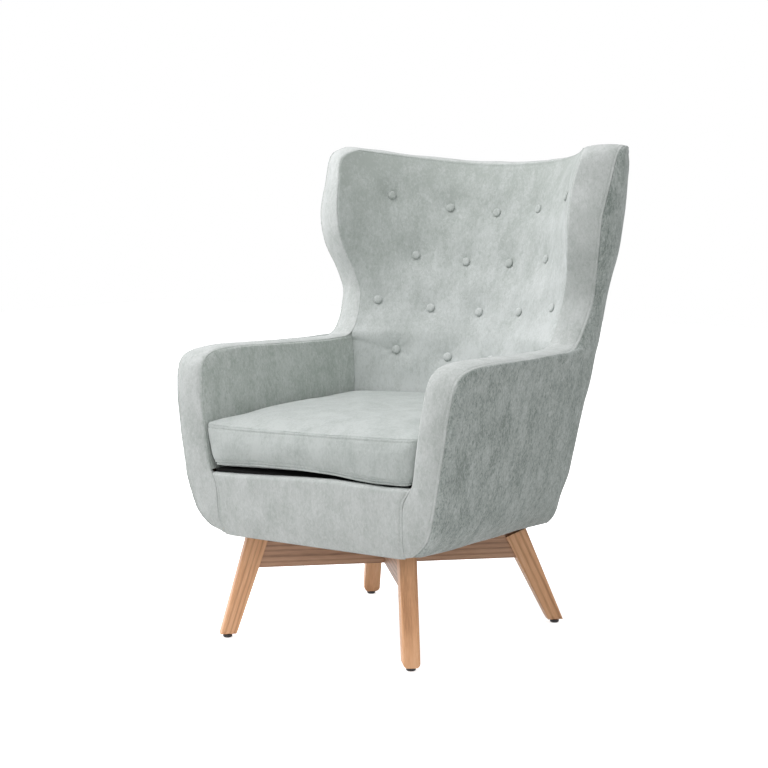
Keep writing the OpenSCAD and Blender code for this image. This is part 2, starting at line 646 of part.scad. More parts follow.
module back_foam() {
    g = [for (t = concat(run(4, wing_end_share, 18), [mix(wing_end_share, last_step, 0.5)]))
        [for (q = foam_col_shares) inside_back(q, t)]];
    near = grid_moved(g, foam_front);
    color(foam) sheet(near, grid_moved(near, back_foam_t));
}
module back_buttons() {
    r = button_d / 2;
    button_lift = 5 * layer_gap;
    color(fabric) for (b = button_places) {
        p = inside_back(button_share(b), b[1]);
        h = 0.02;
        q = button_share(b);
        n = unit(cross(inside_back(q + h, b[1]) - inside_back(q - h, b[1]),
            inside_back(q, b[1] + h) - inside_back(q, b[1] - h)));
        d = n.y > 0 ? -n : n;
        translate(p + d * 2 * layer_gap)
            rotate([0, acos(d.z), atan2(d.y, d.x)])
                rotate_extrude($fn = 48) polygon([[0, 0], [r * 0.25, 0],
                    [r * 0.25, button_lift], [r * 0.8, button_lift], [r, button_h * 0.4],
                    [r * 0.93, button_h * 0.65], [r * 0.7, button_h * 0.9],
                    [r * 0.35, button_h], [0, button_h]]);
    }
}

// Posts and rails inside the shell
function box_ring(c, u, v, w, h) = [c - u * w / 2 - v * h / 2, c + u * w / 2 - v * h / 2,
    c + u * w / 2 + v * h / 2, c - u * w / 2 + v * h / 2];
function inner_margin(t) = mix(
    mix(2 * cover_t, cover_t + arm_foam_t + 2 * post_gap, ease((t - 1) / 1.6)),
    cover_t + 3 * layer_gap + back_foam_t, ease((t - 9.2) / 0.8));
outer_margin = 2 * cover_t + board_t;
function post_ring(t) = let (f = border_axes(t),
    a = f[0] + f[2] * inner_margin(t), b = f[1] - f[2] * outer_margin,
    c = (a + b) / 2 - f[3] * (border_t + post_gap + post_t / 2))
    box_ring(c, f[2], f[3], norm(b - a), post_t);
function steps_between(low, high) =
    concat([low], [for (t = border_step_shares) if (t > low && t < high) t], [high]);
module post(steps) { color(pine) rings([for (t = steps) post_ring(t)]); }
module arm_post() { post(steps_between(1, 6.3)); }
module arm_rail() { post(steps_between(6.3, arm_seat_share)); }
module wing_post() { post(steps_between(arm_seat_share, wing_end_share)); }

function back_post_place(t) = let (
    inner = t < crease_count ? curve(crease, min(crease_count - 1, t))
        : inside_back(mix(1, 0.88, ease(t - crease_count)), t),
    outer = outside(1, t))
    [mix(inner, outer, mix(0.4, 0.55, ease(t / 4))) + [0, 3 * post_gap, 0],
        unit([outer.x - inner.x, outer.y - inner.y, 0])];
function back_post_ring(t) = let (p = back_post_place(t), u = p[1], v = [-u.y, u.x, 0])
    box_ring(p[0], u, v, post_t, post_t);
module back_post() {
    color(pine) rings([for (t = concat(run(wing_end_share, 2, 14), [1.6])) back_post_ring(t)]);
}

// Rails lie behind the foam and lean with the back
function back_frame(q, t) = let (h = 0.05,
    across = unit(inside_back(q + h, t) - inside_back(q - h, t)),
    up = unit(inside_back(q, t + h) - inside_back(q, t - h)), n = unit(cross(up, across)))
    [inside_back(q, t), n, unit(cross(across, n))];
module cross_member(t, h) {
    color(pine) rings([for (q = reversed(rail_col_shares)) let (f = back_frame(q, t))
        box_ring(f[0] + f[1] * (foam_back + 2 * layer_gap + rail_depth / 2),
            f[1], f[2], rail_depth, h)]);
}
rail_depth = post_t * 0.75;
module top_rail() { cross_member(15.6, 2 * post_t); }
module middle_rail() { cross_member(8.4, 2 * post_t); }
module back_straps() {
    for (t = [10.8, 12.3, 13.8]) color(lining) {
        g = [for (k = [t - 0.4, t + 0.4]) [for (q = rail_col_shares) inside_back(q, k)]];
        near = grid_moved(g, foam_back + 1.5 * post_gap);
        sheet(near, grid_moved(near, strap_t));
    }
}

// Loose seat cushion: its walls follow the arms and the back at every height
cushion_low = deck_h + cushion_sag + layer_gap;
cushion_corner_share = 0.14;
cushion_draw_share = 0.075;
quarter = concat([for (a = run(0, 90, 4)) [1 - cushion_corner_share * (1 - cos(a)),
    1 - cushion_corner_share * (1 - sin(a))]], [for (k = [0.5, 0, -0.5]) [k, 1]]);
outline = concat(quarter, [for (p = quarter) [-p.y, p.x]], [for (p = quarter) -p],
    [for (p = quarter) [p.y, -p.x]]);
// Half width and rear edge of the seat space at a height and a place across or along
function space_half(z, s) = mix(curve(inner_seam, step_of_level(inner_seam, z)).x,
    curve(crease, step_of_level(crease, z)).x, s);
function space_rear(z, share) = let (e = curve(crease, step_of_level(crease, z)),
    m = curve(inside_middle, step_of_level(inside_middle, z)))
    m.y - (m.y - e.y) * pow(abs(share), bow_power(0));
function cushion_point(p, k) = let (
    z = cushion_low + k * cushion_h, puff = cushion_swell * (1 - 4 * k * (1 - k)),
    rear = space_rear(z, p.x) - cushion_back_gap - puff,
    front = body_front + cushion_front_gap + puff,
    y = mix(front, rear, (p.y + 1) / 2),
    drawn = 1 - cushion_draw_share * (1 - k) * (1 - k) * ease(-p.y))
    [p.x * drawn * (space_half(z, (p.y + 1) / 2) - cushion_gap - puff), y, z];
cushion_middle = let (z = cushion_low) (body_front + space_rear(z, 0)) / 2;
function drawn_to_middle(p, r) = [r * p.x, cushion_middle + r * (p.y - cushion_middle), p.z];
function cushion_top(p, r) = drawn_to_middle(cushion_point(p, 1), r)
    + [0, 0, cushion_crown * (1 - pow(r, 2.6))];
function cushion_under(p, r) = drawn_to_middle(cushion_point(p, 0), r)
    - [0, 0, cushion_sag * (1 - pow(r, 2.6))];
function wall(k, inset) = let (n = len(outline), w = [for (p = outline) cushion_point(p, k)])
    [for (i = [0:n - 1]) let (d = unit(w[(i + 1) % n] - w[(i + n - 1) % n]))
        w[i] + inset * [-d.y, d.x, 0]];

module disc(upper, lower) {
    n = len(upper);
    m = len(outline);
    count = n * m;
    faces = concat(
        [for (i = [0:n - 2]) for (j = [0:m - 1]) let (a = i * m + j, b = i * m + (j + 1) % m,
            c = (i + 1) * m + (j + 1) % m, d = (i + 1) * m + j)
            for (f = [[a, c, b], [a, d, c], [a + count, b + count, c + count],
                [a + count, c + count, d + count]]) f],
        [for (j = [0:m - 1]) let (a = j, b = (j + 1) % m)
            for (f = [[a, b, b + count], [a, b + count, a + count]]) f],
        [for (j = [1:m - 2]) let (a = (n - 1) * m)
            for (f = [[a, a + j + 1, a + j], [a + count, a + count + j, a + count + j + 1]]) f]);
    polyhedron(points = concat(joined(upper), joined(lower)), faces = faces, convexity = 6);
}
reach_shares = [1, 0.93, 0.8, 0.62, 0.42, 0.2];
module cushion_top_cover() {
    color(fabric) disc([for (r = reach_shares) [for (p = outline) cushion_top(p, r)]],
        [for (r = reach_shares) [for (p = outline) cushion_top(p, r) - [0, 0, cover_t]]]);
}
module cushion_bottom_cover() {
    color(fabric) disc(
        [for (r = reach_shares) [for (p = outline) cushion_under(p, r) + [0, 0, cover_t]]],
        [for (r = reach_shares) [for (p = outline) cushion_under(p, r)]]);
}
wall_shares = [0.04, 0.2, 0.4, 0.6, 0.8, 0.96];
module cushion_boxing() {
    color(fabric) rings(concat([for (k = reversed(wall_shares)) wall(k, 0)],
        [for (k = wall_shares) wall(k, cover_t)]), closed = true);
}
core_share = 0.975;
module cushion_core() {
    lift = [0, 0, cover_t + 1.5 * layer_gap];
    color(foam) disc(
        [for (r = reach_shares) [for (p = outline) cushion_top(p, r * core_share) - lift]],
        [for (r = reach_shares) [for (p = outline) cushion_under(p, r * core_share) + lift]]);
}

cross_rail(-cross_angle, true);  // cross_rail_lower
cross_rail(180 + cross_angle, false);  // cross_rail_upper
front_leg(180 + cross_angle);  // leg_front_left
front_leg(360 - cross_angle);  // leg_front_right
rear_leg(180 - cross_angle);  // leg_rear_left
rear_leg(cross_angle);  // leg_rear_right
glides();
glide_nails();
base_bolts();
base_washers();
tee_nuts();
front_stretcher();
rear_stretcher();
front_rail();
rear_rail();
both(true) side_rail();  // side_rail_left
both(false) side_rail();  // side_rail_right
corner_blocks();
seat_straps_long();
seat_straps_cross();
deck_pad();
deck_cloth();
dust_cover();
front_panel();
both(true) arm_post();  // arm_post_left
both(false) arm_post();  // arm_post_right
both(true) arm_rail();  // arm_rail_left
both(false) arm_rail();  // arm_rail_right
both(true) wing_post();  // wing_post_left
both(false) wing_post();  // wing_post_right
both(true) back_post();  // back_post_left
both(false) back_post();  // back_post_right
top_rail();
middle_rail();
back_straps();
both(true) side_board();  // side_board_left
both(false) side_board();  // side_board_right
back_board();
back_foam();
both(true) arm_foam();  // arm_foam_left
both(false) arm_foam();  // arm_foam_right
inside_back_cover();
both(true) inside_arm_cover();  // inside_arm_cover_left
both(false) inside_arm_cover();  // inside_arm_cover_right
both(true) outside_cover();  // outside_cover_left
both(false) outside_cover();  // outside_cover_right
outside_back_cover();
both(true) border();  // border_left
both(false) border();  // border_right
top_border();
back_buttons();
cushion_core();
cushion_top_cover();
cushion_bottom_cover();
cushion_boxing();
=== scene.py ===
from math import cos, pi, radians, sin

import bpy
import numpy as np
from mathutils import Matrix, Vector


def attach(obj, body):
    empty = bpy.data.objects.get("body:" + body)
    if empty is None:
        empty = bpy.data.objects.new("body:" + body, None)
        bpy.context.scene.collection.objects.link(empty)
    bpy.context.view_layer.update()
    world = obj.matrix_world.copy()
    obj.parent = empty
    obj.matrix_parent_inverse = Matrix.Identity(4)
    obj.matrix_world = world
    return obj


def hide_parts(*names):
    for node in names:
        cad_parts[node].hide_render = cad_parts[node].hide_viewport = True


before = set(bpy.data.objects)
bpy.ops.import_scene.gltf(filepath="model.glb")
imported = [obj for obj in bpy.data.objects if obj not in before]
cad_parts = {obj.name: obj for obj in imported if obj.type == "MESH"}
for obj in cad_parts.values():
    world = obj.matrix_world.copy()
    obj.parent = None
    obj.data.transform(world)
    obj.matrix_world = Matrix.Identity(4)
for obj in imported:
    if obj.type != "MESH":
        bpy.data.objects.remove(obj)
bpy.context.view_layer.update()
print("frame loaded:", len(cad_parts), "nodes")


# Camera, at the photograph's place
cameraSet = {"place": (2.42450, -3.45230, 0.98178), "turn": 0.63090, "tilt": 0.10730, "lens": 90.66}


def makeCamera():
    data = bpy.data.cameras.new("camera")
    data.lens, data.sensor_width = cameraSet["lens"], 36
    data.clip_end = 60
    camera = bpy.data.objects.new("camera", data)
    bpy.context.collection.objects.link(camera)
    a, e = cameraSet["turn"], cameraSet["tilt"]
    ahead = Vector((-sin(a) * cos(e), cos(a) * cos(e), -sin(e)))
    right = Vector((cos(a), sin(a), 0))
    up = right.cross(ahead)
    turn = Matrix((right, up, -ahead)).transposed().to_4x4()
    camera.matrix_world = Matrix.Translation(cameraSet["place"]) @ turn
    bpy.context.scene.camera = camera


makeCamera()
print("camera set")


# The shell's guides: sizes in metres, and points as [share of half width, share of depth, level],
# where a level runs from 0 at the underside to 1 at the arm tops and 2 at the wing tops
shell = {
    "wingHeight": 1.052, "wingWidth": 0.774, "armHeight": 0.612, "armWidth": 0.730,
    "depth": 0.817, "under": 0.226, "crown": 0.005, "cornerRound": 0.066, "sideCrown": 0.008,
    "tuftDepth": 0.012, "tuftReach": 0.062, "cover": 0.003,
}
lastStep = 17  # each long guide has 18 points, counted from 0
coverSteps = {"foot": 0.02, "behindDeck": 2.8, "armTop": 9.95, "top": 16.985}
deckTop = 0.367
innerSeamShares = [[0.647, 0.021, 0], [0.655, 0.006, 0.114], [0.666, 0, 0.288],
    [0.718, 0, 0.386], [0.748, 0, 0.58], [0.781, 0.004, 0.8], [0.803, 0.028, 0.96],
    [0.802, 0.117, 1.008], [0.783, 0.333, 1.002], [0.753, 0.542, 1], [0.727, 0.629, 1.032],
    [0.733, 0.676, 1.208], [0.765, 0.669, 1.345], [0.801, 0.639, 1.486],
    [0.812, 0.626, 1.642], [0.818, 0.639, 1.806], [0.83, 0.665, 1.936], [0.781, 0.718, 1.979]]
outerSeamShares = [[0.685, 0.026, 0.003], [0.811, 0.011, 0.114], [0.874, 0.001, 0.288],
    [0.893, 0, 0.386], [0.929, 0.001, 0.58], [0.962, 0.006, 0.8], [0.986, 0.028, 0.946],
    [1, 0.117, 0.997], [0.973, 0.333, 0.995], [0.934, 0.548, 0.99], [0.903, 0.643, 1.023],
    [0.912, 0.7, 1.208], [0.939, 0.692, 1.345], [0.98, 0.666, 1.486], [0.997, 0.661, 1.642],
    [1, 0.692, 1.806], [1, 0.722, 1.945], [0.98, 0.77, 1.989]]
rearCornerShares = [[0.647, 0.677, 0], [0.737, 0.69, 0.093], [0.792, 0.7, 0.256],
    [0.816, 0.711, 0.373], [0.841, 0.73, 0.528], [0.86, 0.749, 0.671], [0.868, 0.767, 0.749],
    [0.868, 0.782, 0.826], [0.868, 0.792, 0.904], [0.871, 0.8, 0.974], [0.883, 0.809, 1.046],
    [0.91, 0.812, 1.2], [0.938, 0.813, 1.326], [0.972, 0.814, 1.475], [0.992, 0.814, 1.623],
    [1, 0.814, 1.772], [0.997, 0.82, 1.904], [0.97, 0.842, 1.977]]
creaseShares = [[0.658, 0.573, 0], [0.666, 0.581, 0.109], [0.677, 0.597, 0.256],
    [0.685, 0.606, 0.373], [0.696, 0.616, 0.503], [0.704, 0.621, 0.611],
    [0.715, 0.626, 0.723], [0.721, 0.628, 0.813], [0.729, 0.629, 0.896], [0.734, 0.629, 0.974]]
insideLevels = np.array([0, 0.104, 0.238, 0.334, 0.451, 0.554, 0.658, 0.749, 0.826, 0.886,
    1.014, 1.137, 1.263, 1.388, 1.518, 1.648, 1.79, 1.904])
outsideLevels = np.array([0, 0.093, 0.256, 0.373, 0.528, 0.671, 0.749, 0.826, 0.904, 0.974,
    1.046, 1.189, 1.315, 1.441, 1.571, 1.715, 1.836, 1.9])
outsideLean, backThick = (0.702, 1.018), (0.077, 0.066)
bodyFront = -shell["depth"] / 2 + shell["crown"]
bodySpan = shell["depth"] - shell["crown"]


def levelHeight(a):
    a = np.asarray(a, float)
    low, arm, wing = shell["under"], shell["armHeight"], shell["wingHeight"]
    return np.where(a < 1, low + a * (arm - low), arm + (a - 1) * (wing - arm))


def placed(shares):
    # Shares to metres; above the arms the half width is that of the wings
    p = np.array(shares, float)
    wider = shell["wingWidth"] - shell["armWidth"]
    half = (shell["armWidth"] + np.maximum(0, p[:, 2] - 1) * wider) / 2
    return np.stack([p[:, 0] * half, bodyFront + p[:, 1] * bodySpan, levelHeight(p[:, 2])], 1)


def heightShare(z):  # 0 at the underside and 1 at the wing tops
    return (z - shell["under"]) / (shell["wingHeight"] - shell["under"])


def leanLine(z):  # how far back the outside back's middle is
    return bodyFront + bodySpan * (outsideLean[0] + (outsideLean[1] - outsideLean[0]) * heightShare(z))


innerSeam, outerSeam = placed(innerSeamShares), placed(outerSeamShares)
rearCorner, crease = placed(rearCornerShares), placed(creaseShares)
backEdge = np.concatenate([crease, innerSeam[10:]])
insideZ, outsideZ = levelHeight(insideLevels), levelHeight(outsideLevels)
insideMiddle = np.stack([insideZ * 0, leanLine(insideZ) - backThick[0]
    - (backThick[1] - backThick[0]) * heightShare(insideZ), insideZ], 1)
outsideMiddle = np.stack([outsideZ * 0,
    np.minimum(shell["depth"] / 2, leanLine(outsideZ)), outsideZ], 1)


def curve(points, t):
    # Catmull-Rom curve through the points; t counts points and may be an array of any shape
    t = np.asarray(t, float)
    n = len(points) - 1
    k = np.clip(np.floor(t), 0, n - 1).astype(int)
    u = (t - k)[..., None]
    a, b, c, d = (points[np.clip(k + i, 0, n)] for i in (-1, 0, 1, 2))
    return 0.5 * (2 * b + (c - a) * u + (2 * a - 5 * b + 4 * c - d) * u**2
        + (3 * b - a - 3 * c + d) * u**3)


def ease(k):  # from 0 to 1, level at both ends
    c = np.clip(k, 0, 1)
    return c * c * (3 - 2 * c)


def unit(v):
    return v / np.maximum(np.linalg.norm(v, axis=-1, keepdims=True), 1e-9)


def mixed(a, b, k):
    return a + (b - a) * k


def bow(edge, middle, share, power):
    # x grows with the share, y bends from the middle to the edge by a power of it, z by its square
    q = np.abs(share)
    y = middle[..., 1] - (middle[..., 1] - edge[..., 1]) * q**power
    z = middle[..., 2] + (edge[..., 2] - middle[..., 2]) * q**2
    return np.stack([share * edge[..., 0], y, z], -1)


def backEdgePoint(t):
    # The crease between back and arm, and above it the wing's inner seam
    return np.where((np.asarray(t) < 10)[..., None], curve(backEdge, t), curve(innerSeam, t))


def insideBackPoint(share, t):
    power = 1.75 + 1.05 * ease((t - 11) / 2)
    return bow(backEdgePoint(t), curve(insideMiddle, t), share, power)


def outsideBackPoint(share, t):
    return bow(curve(rearCorner, t), curve(outsideMiddle, t), share, 3)


def insideArmPoint(s, t):
    return mixed(curve(innerSeam, t), curve(backEdge, t), s[..., None])


def sidePoint(s, t):
    p = mixed(curve(outerSeam, t), curve(rearCorner, t), s[..., None])
    p[..., 0] += shell["sideCrown"] * np.sin(pi * s)
    return p


def outsidePoint(u, t):
    # 0 is the front seam, 1 the rear corner and 2 the middle; a parabola rounds the corner
    c = curve(rearCorner, t)
    r = shell["cornerRound"] * (0.22 + 0.78 * ease(t / 6))
    a = 1 - np.minimum(0.9, r / np.linalg.norm(c - curve(outerSeam, t), axis=-1))
    b = 1 + r / np.linalg.norm(c - curve(outsideMiddle, t), axis=-1)
    k = np.where(u < 1, (u - a) / (1 - a) / 2, (1 + (u - 1) / (b - 1)) / 2)
    wall = np.where((u < 1)[..., None], sidePoint(u, t), outsideBackPoint(2 - u, t))
    m = k[..., None]
    turned = (1 - m)**2 * sidePoint(a, t) + 2 * m * (1 - m) * c + m**2 * outsideBackPoint(2 - b, t)
    return np.where((m <= 0) | (m >= 1), wall, turned)


# Grids, relief and closed pads
def waves(u, v, size, seed, count=14):
    # A sum of plane waves with random directions and phases, about 1 high, features of that size
    random = np.random.default_rng(seed)
    total = np.zeros(np.broadcast(u, v).shape)
    for turn, scale, phase in zip(random.uniform(0, pi, count), random.uniform(0.6, 1.7, count),
            random.uniform(0, 2 * pi, count)):
        total += np.sin(2 * pi * (u * np.cos(turn) + v * np.sin(turn)) / (size * scale * 2) + phase)
    return total / np.sqrt(count)


def lines(count, length, edges):
    # Shares from 0 to 1: an even spacing, with the edge distances in metres added at both ends
    inner = np.array(edges) / length
    middle = np.linspace(inner[-1], 1 - inner[-1], count)
    return np.concatenate([inner[:-1], middle, 1 - inner[:-1][::-1]])


def lengths(grid, axis):
    # Distance along each line of the grid from its start
    step = np.linalg.norm(np.diff(grid, axis=axis), axis=-1)
    total = np.cumsum(step, axis=axis)
    first = np.zeros_like(np.take(total, [0], axis=axis))
    return np.concatenate([first, total], axis=axis)


def normals(grid):
    return unit(np.cross(np.gradient(grid, axis=0), np.gradient(grid, axis=1)))


def rolled(distance, radius):
    # The drop of a quarter-round edge at a distance from the seam
    k = np.clip(1 - distance / radius, 0, 1)
    return -radius * (1 - np.sqrt(1 - k * k))


def stitchedLine(distance, at, depth=0.0007, width=0.0012):
    return -depth * np.exp(-((distance - at) / width)**2)


def addMesh(name, vertices, faces):
    mesh = bpy.data.meshes.new(name)
    faces = [np.asarray(f) for f in faces if len(f)]
    sizes = np.concatenate([np.full(len(f), f.shape[1]) for f in faces])
    corners = np.concatenate([f.ravel() for f in faces]).astype(np.int32)
    mesh.vertices.add(len(vertices))
    mesh.vertices.foreach_set("co", np.asarray(vertices, np.float32).ravel())
    mesh.loops.add(len(corners))
    mesh.loops.foreach_set("vertex_index", corners)
    mesh.polygons.add(len(sizes))
    starts = np.concatenate([[0], np.cumsum(sizes)[:-1]])
    mesh.polygons.foreach_set("loop_start", starts.astype(np.int32))
    mesh.polygons.foreach_set("use_smooth", np.ones(len(sizes), bool))
    mesh.update(calc_edges=True)
    mesh.validate()
    piece = bpy.data.objects.new(name, mesh)
    bpy.context.collection.objects.link(piece)
    return piece


def signedVolume(vertices, quads):
    # A sixth of the triple products of each quad's two triangles, above 0 where they face outwards
    a, b, c, d = (vertices[quads[:, i]] for i in range(4))
    return sum(np.einsum("ij,ij->i", a, turn).sum() for turn in (np.cross(b, c), np.cross(c, d))) / 6


def ringQuads(rings, sides):
    # Quads between closed rings of points: their numbers, the numbers one step on, and the quads
    index = np.arange(rings * sides).reshape(rings, sides)
    following = np.roll(index, -1, 1)
    quads = np.stack([index[:-1], following[:-1], following[1:], index[1:]], -1)
    return index, following, quads.reshape(-1, 4)


def closedPad(name, front, back):
    # A closed shell between two grids of one size, with its faces turned outwards
    rows, cols = front.shape[:2]
    index = np.arange(rows * cols).reshape(rows, cols)
    top = np.stack([index[:-1, :-1], index[:-1, 1:], index[1:, 1:], index[1:, :-1]], -1).reshape(-1, 4)
    low = top[:, ::-1] + rows * cols
    ring = np.concatenate([index[0], index[1:, -1], index[-1, -2::-1], index[-2:0:-1, 0]])
    following = np.roll(ring, -1)
    rim = np.stack([following, ring, ring + rows * cols, following + rows * cols], -1)
    quads = np.concatenate([top, low, rim])
    vertices = np.concatenate([front.reshape(-1, 3), back.reshape(-1, 3)])
    if signedVolume(vertices, quads) < 0:
        quads = quads[:, ::-1]
    return addMesh(name, vertices, [quads])


def mirrored(points):
    return points * np.array([-1, 1, 1])


# How round the corner is between the border and the inside covers: least at the waist
cornerSet = {"round": 0.0050, "waistLoss": 0.0032, "waistFrom": 8.3, "waistTo": 14.0}


def innerRound(t):
    waist = ease((t - cornerSet["waistFrom"]) / 1.2) * ease((cornerSet["waistTo"] - t) / 2.2)
    return cornerSet["round"] - cornerSet["waistLoss"] * waist


# Soft moves of the covers, the same on both sides: [centre, reach, move]
easings = [
    [(0.380, 0.277, 1.045), 0.024, (-0.0075, -0.0060, -0.0065)],  # top rear corner of the wing
    [(0.283, 0.163, 0.283), 0.038, (-0.0052, -0.0048, 0)],  # above the rear foot corner
    [(0.243, 0.150, 0.226), 0.030, (0.0030, 0.0030, -0.0010)],  # rear foot corner
    [(0.252, -0.386, 0.226), 0.022, (-0.0045, 0.0050, 0.0025)],  # front foot corner
    [(0.350, -0.395, 0.585), 0.030, (-0.0015, 0.0020, -0.0010)],  # front of the arm's top
]
hemSet = {"drop": 0.0022, "rearDrop": 0.0035, "reach": 0.03, "rearReach": 0.06, "rearFrom": 0.13}


def fitted(grid):
    # The covers' feet end a little below the frame, lowest at the rear corners, and each easing
    # moves what is near its centre by a bell of the distance
    z = grid[..., 2]
    rear = ease(grid[..., 1] / hemSet["rearFrom"])
    reach = mixed(hemSet["reach"], hemSet["rearReach"], rear)
    down = (hemSet["drop"] + hemSet["rearDrop"] * rear) * (1 - ease((z - shell["under"]) / reach))
    side = np.sign(grid[..., 0])
    moved = grid - np.stack([0 * z, 0 * z, down], -1)
    for centre, reach, move in easings:
        away = np.stack([np.abs(grid[..., 0]), grid[..., 1], z], -1) - centre
        bell = np.exp(-(away**2).sum(-1) / reach**2)[..., None]
        moved = moved + bell * move * np.stack([side, 0 * z + 1, 0 * z + 1], -1)
    return moved


# Lines of stitches, each with the cloth's normals, kept until one mesh is made for each body
sewn = {"chair": [], "seat_cushion": []}


def keepStitches(body, grid, row=None, column=None, flip=False):
    n = normals(grid) * (-1 if flip else 1)
    line, up = (grid[row], n[row]) if row is not None else (grid[:, column], n[:, column])
    sewn[body].append((line, up))


# Sewn edges: where the grids are close, how far in the stitches run, the share of a corner's
# radius that a grid stops short of its seam, and the radii of seams, top seams and hems
seamEdges = [0, 0.0007, 0.0015, 0.0025, 0.0037, 0.0048, 0.0055, 0.0062, 0.0069, 0.0078, 0.0105]
stitchAt, stitchColumn = 0.0062, 7
cornerInset = 0.293
rounds = {"seam": 0.0012, "top": 0.004, "hem": 0.007}


def waviness(s, seed):
    # Puckers along a seam: two waves of 11.5 mm and 7 mm whose phases wander
    return np.sin(2 * pi * s / 0.0115 + 2.3 * np.sin(2 * pi * s / 0.083 + seed)) \
        + 0.7 * np.sin(2 * pi * s / 0.0071 + 1.9 * np.sin(2 * pi * s / 0.051 + 2 * seed))


def seamLines(grid, edges, pucker=0.0003):
    # Relief near the sewn edges: each edge gives its rolled radius, which may change along it, the
    # inset that its grid starts with, and whether a stitched groove runs beside it
    down, across = lengths(grid, 0), lengths(grid, 1)
    away = {"row0": down, "row1": down[-1:] - down, "col0": across, "col1": across[:, -1:] - across}
    height = np.zeros(grid.shape[:2])
    for k, (side, (radius, inset, stitched)) in enumerate(edges.items()):
        d, s = away[side], across if side[:3] == "row" else down
        near = np.exp(-(d / 0.009)**1.5) * (1 - np.exp(-d / 0.0012))
        height = height + rolled(d + inset, radius) + pucker * waviness(s, k) * near
        if stitched:
            height += stitchedLine(d, stitchAt)
    return height


# Fabric, timber and the rest: colours are sRGB hex, turned to linear by one function
def linear(code):  # "#rrggbb" in sRGB
    values = [int(code[i:i + 2], 16) / 255 for i in (1, 3, 5)]
    return tuple(v / 12.92 if v <= 0.04045 else ((v + 0.055) / 1.055)**2.4 for v in values) + (1,)


def addNode(tree, kind, links=None, inputs=None, **settings):
    node = tree.nodes.new(kind)
    for key, value in settings.items():
        setattr(node, key, value)
    for key, value in (inputs or {}).items():
        node.inputs[key].default_value = value
    for key, socket in (links or {}).items():
        tree.links.new(socket, node.inputs[key])
    return node


def newMaterial(name):
    material = bpy.data.materials.new(name)
    material.use_nodes = True
    tree = material.node_tree
    tree.nodes.clear()
    shader = addNode(tree, "ShaderNodeBsdfPrincipled")
    addNode(tree, "ShaderNodeOutputMaterial", {"Surface": shader.outputs["BSDF"]})
    return material, tree, shader


def setShader(shader, **values):
    for key, value in values.items():
        shader.inputs[key.replace("_", " ")].default_value = value


def ramp(tree, source, stops):
    node = addNode(tree, "ShaderNodeValToRGB", {"Fac": source})
    elements = node.color_ramp.elements
    while len(elements) < len(stops):
        elements.new(0.5)
    for element, (place, code) in zip(elements, stops):
        element.position, element.color = place, linear(code)
    return node


# Polyester velvet, dyed pale sage and brushed: a short pile whose lie changes from place to
# place, which mottles its tone every few millimetres and clouds it every few centimetres
velvetSet = {"cloudSize": 0.036, "mottleSize": 0.0048, "mottleStretch": 0.55, "pileSize": 0.0016,
    "toneSpread": 0.14, "driftMiddle": (0, 0, 0.8), "pileHeight": 0.0006, "mottleBump": 0.4,
    "pileBump": 0.35, "roughness": 0.85, "sheen": 0.30, "sheenRoughness": 0.45,
    "sheenTint": "#eceff0", "specular": 0.15}


def makeVelvet(name, dark, light, clouds=0.4, contrast=1.0, paintedShadeSlope=None):
    # The slope, if given, paints light and shade as a gradient: how the tone changes per metre along x,
    # y and z, about a point in the back
    material, tree, shader = newMaterial(name)
    place = addNode(tree, "ShaderNodeTexCoord").outputs["Object"]
    nap = addNode(tree, "ShaderNodeMapping", {"Vector": place},
        {"Scale": (1, 1, velvetSet["mottleStretch"])}).outputs["Vector"]
    cloud = addNode(tree, "ShaderNodeTexNoise", {"Vector": nap},
        {"Scale": 1 / velvetSet["cloudSize"], "Detail": 2.0, "Roughness": 0.55, "Distortion": 0.5})
    mottle = addNode(tree, "ShaderNodeTexNoise", {"Vector": nap},
        {"Scale": 1 / velvetSet["mottleSize"], "Detail": 3.0, "Roughness": 0.68, "Distortion": 0.9})
    pile = addNode(tree, "ShaderNodeTexNoise", {"Vector": place},
        {"Scale": 1 / velvetSet["pileSize"], "Detail": 2.0, "Roughness": 0.7})
    blend = addNode(tree, "ShaderNodeMix", {"A": mottle.outputs["Fac"], "B": cloud.outputs["Fac"]},
        {"Factor": clouds}, data_type="FLOAT")
    value = blend.outputs["Result"]
    if paintedShadeSlope:
        centred = addNode(tree, "ShaderNodeVectorMath", {0: place}, {1: velvetSet["driftMiddle"]},
            operation="SUBTRACT")
        slope = addNode(tree, "ShaderNodeVectorMath", {0: centred.outputs["Vector"]}, {1: paintedShadeSlope},
            operation="DOT_PRODUCT")
        value = addNode(tree, "ShaderNodeMath", {0: value, 1: slope.outputs["Value"]},
            operation="ADD").outputs["Value"]
    half = velvetSet["toneSpread"] / contrast
    spread = addNode(tree, "ShaderNodeMapRange", {"Value": value},
        {"From Min": 0.5 - half, "From Max": 0.5 + half})
    tone = ramp(tree, spread.outputs["Result"], [(0, dark), (1, light)])
    bump = addNode(tree, "ShaderNodeBump", {"Height": mottle.outputs["Fac"]},
        {"Strength": velvetSet["mottleBump"], "Distance": velvetSet["pileHeight"] * 2})
    fine = addNode(tree, "ShaderNodeBump",
        {"Height": pile.outputs["Fac"], "Normal": bump.outputs["Normal"]},
        {"Strength": velvetSet["pileBump"], "Distance": velvetSet["pileHeight"]})
    tree.links.new(tone.outputs["Color"], shader.inputs["Base Color"])
    tree.links.new(fine.outputs["Normal"], shader.inputs["Normal"])
    setShader(shader, Roughness=velvetSet["roughness"], Sheen_Weight=velvetSet["sheen"],
        Sheen_Roughness=velvetSet["sheenRoughness"], Sheen_Tint=linear(velvetSet["sheenTint"]),
        Specular_IOR_Level=velvetSet["specular"])
    return material
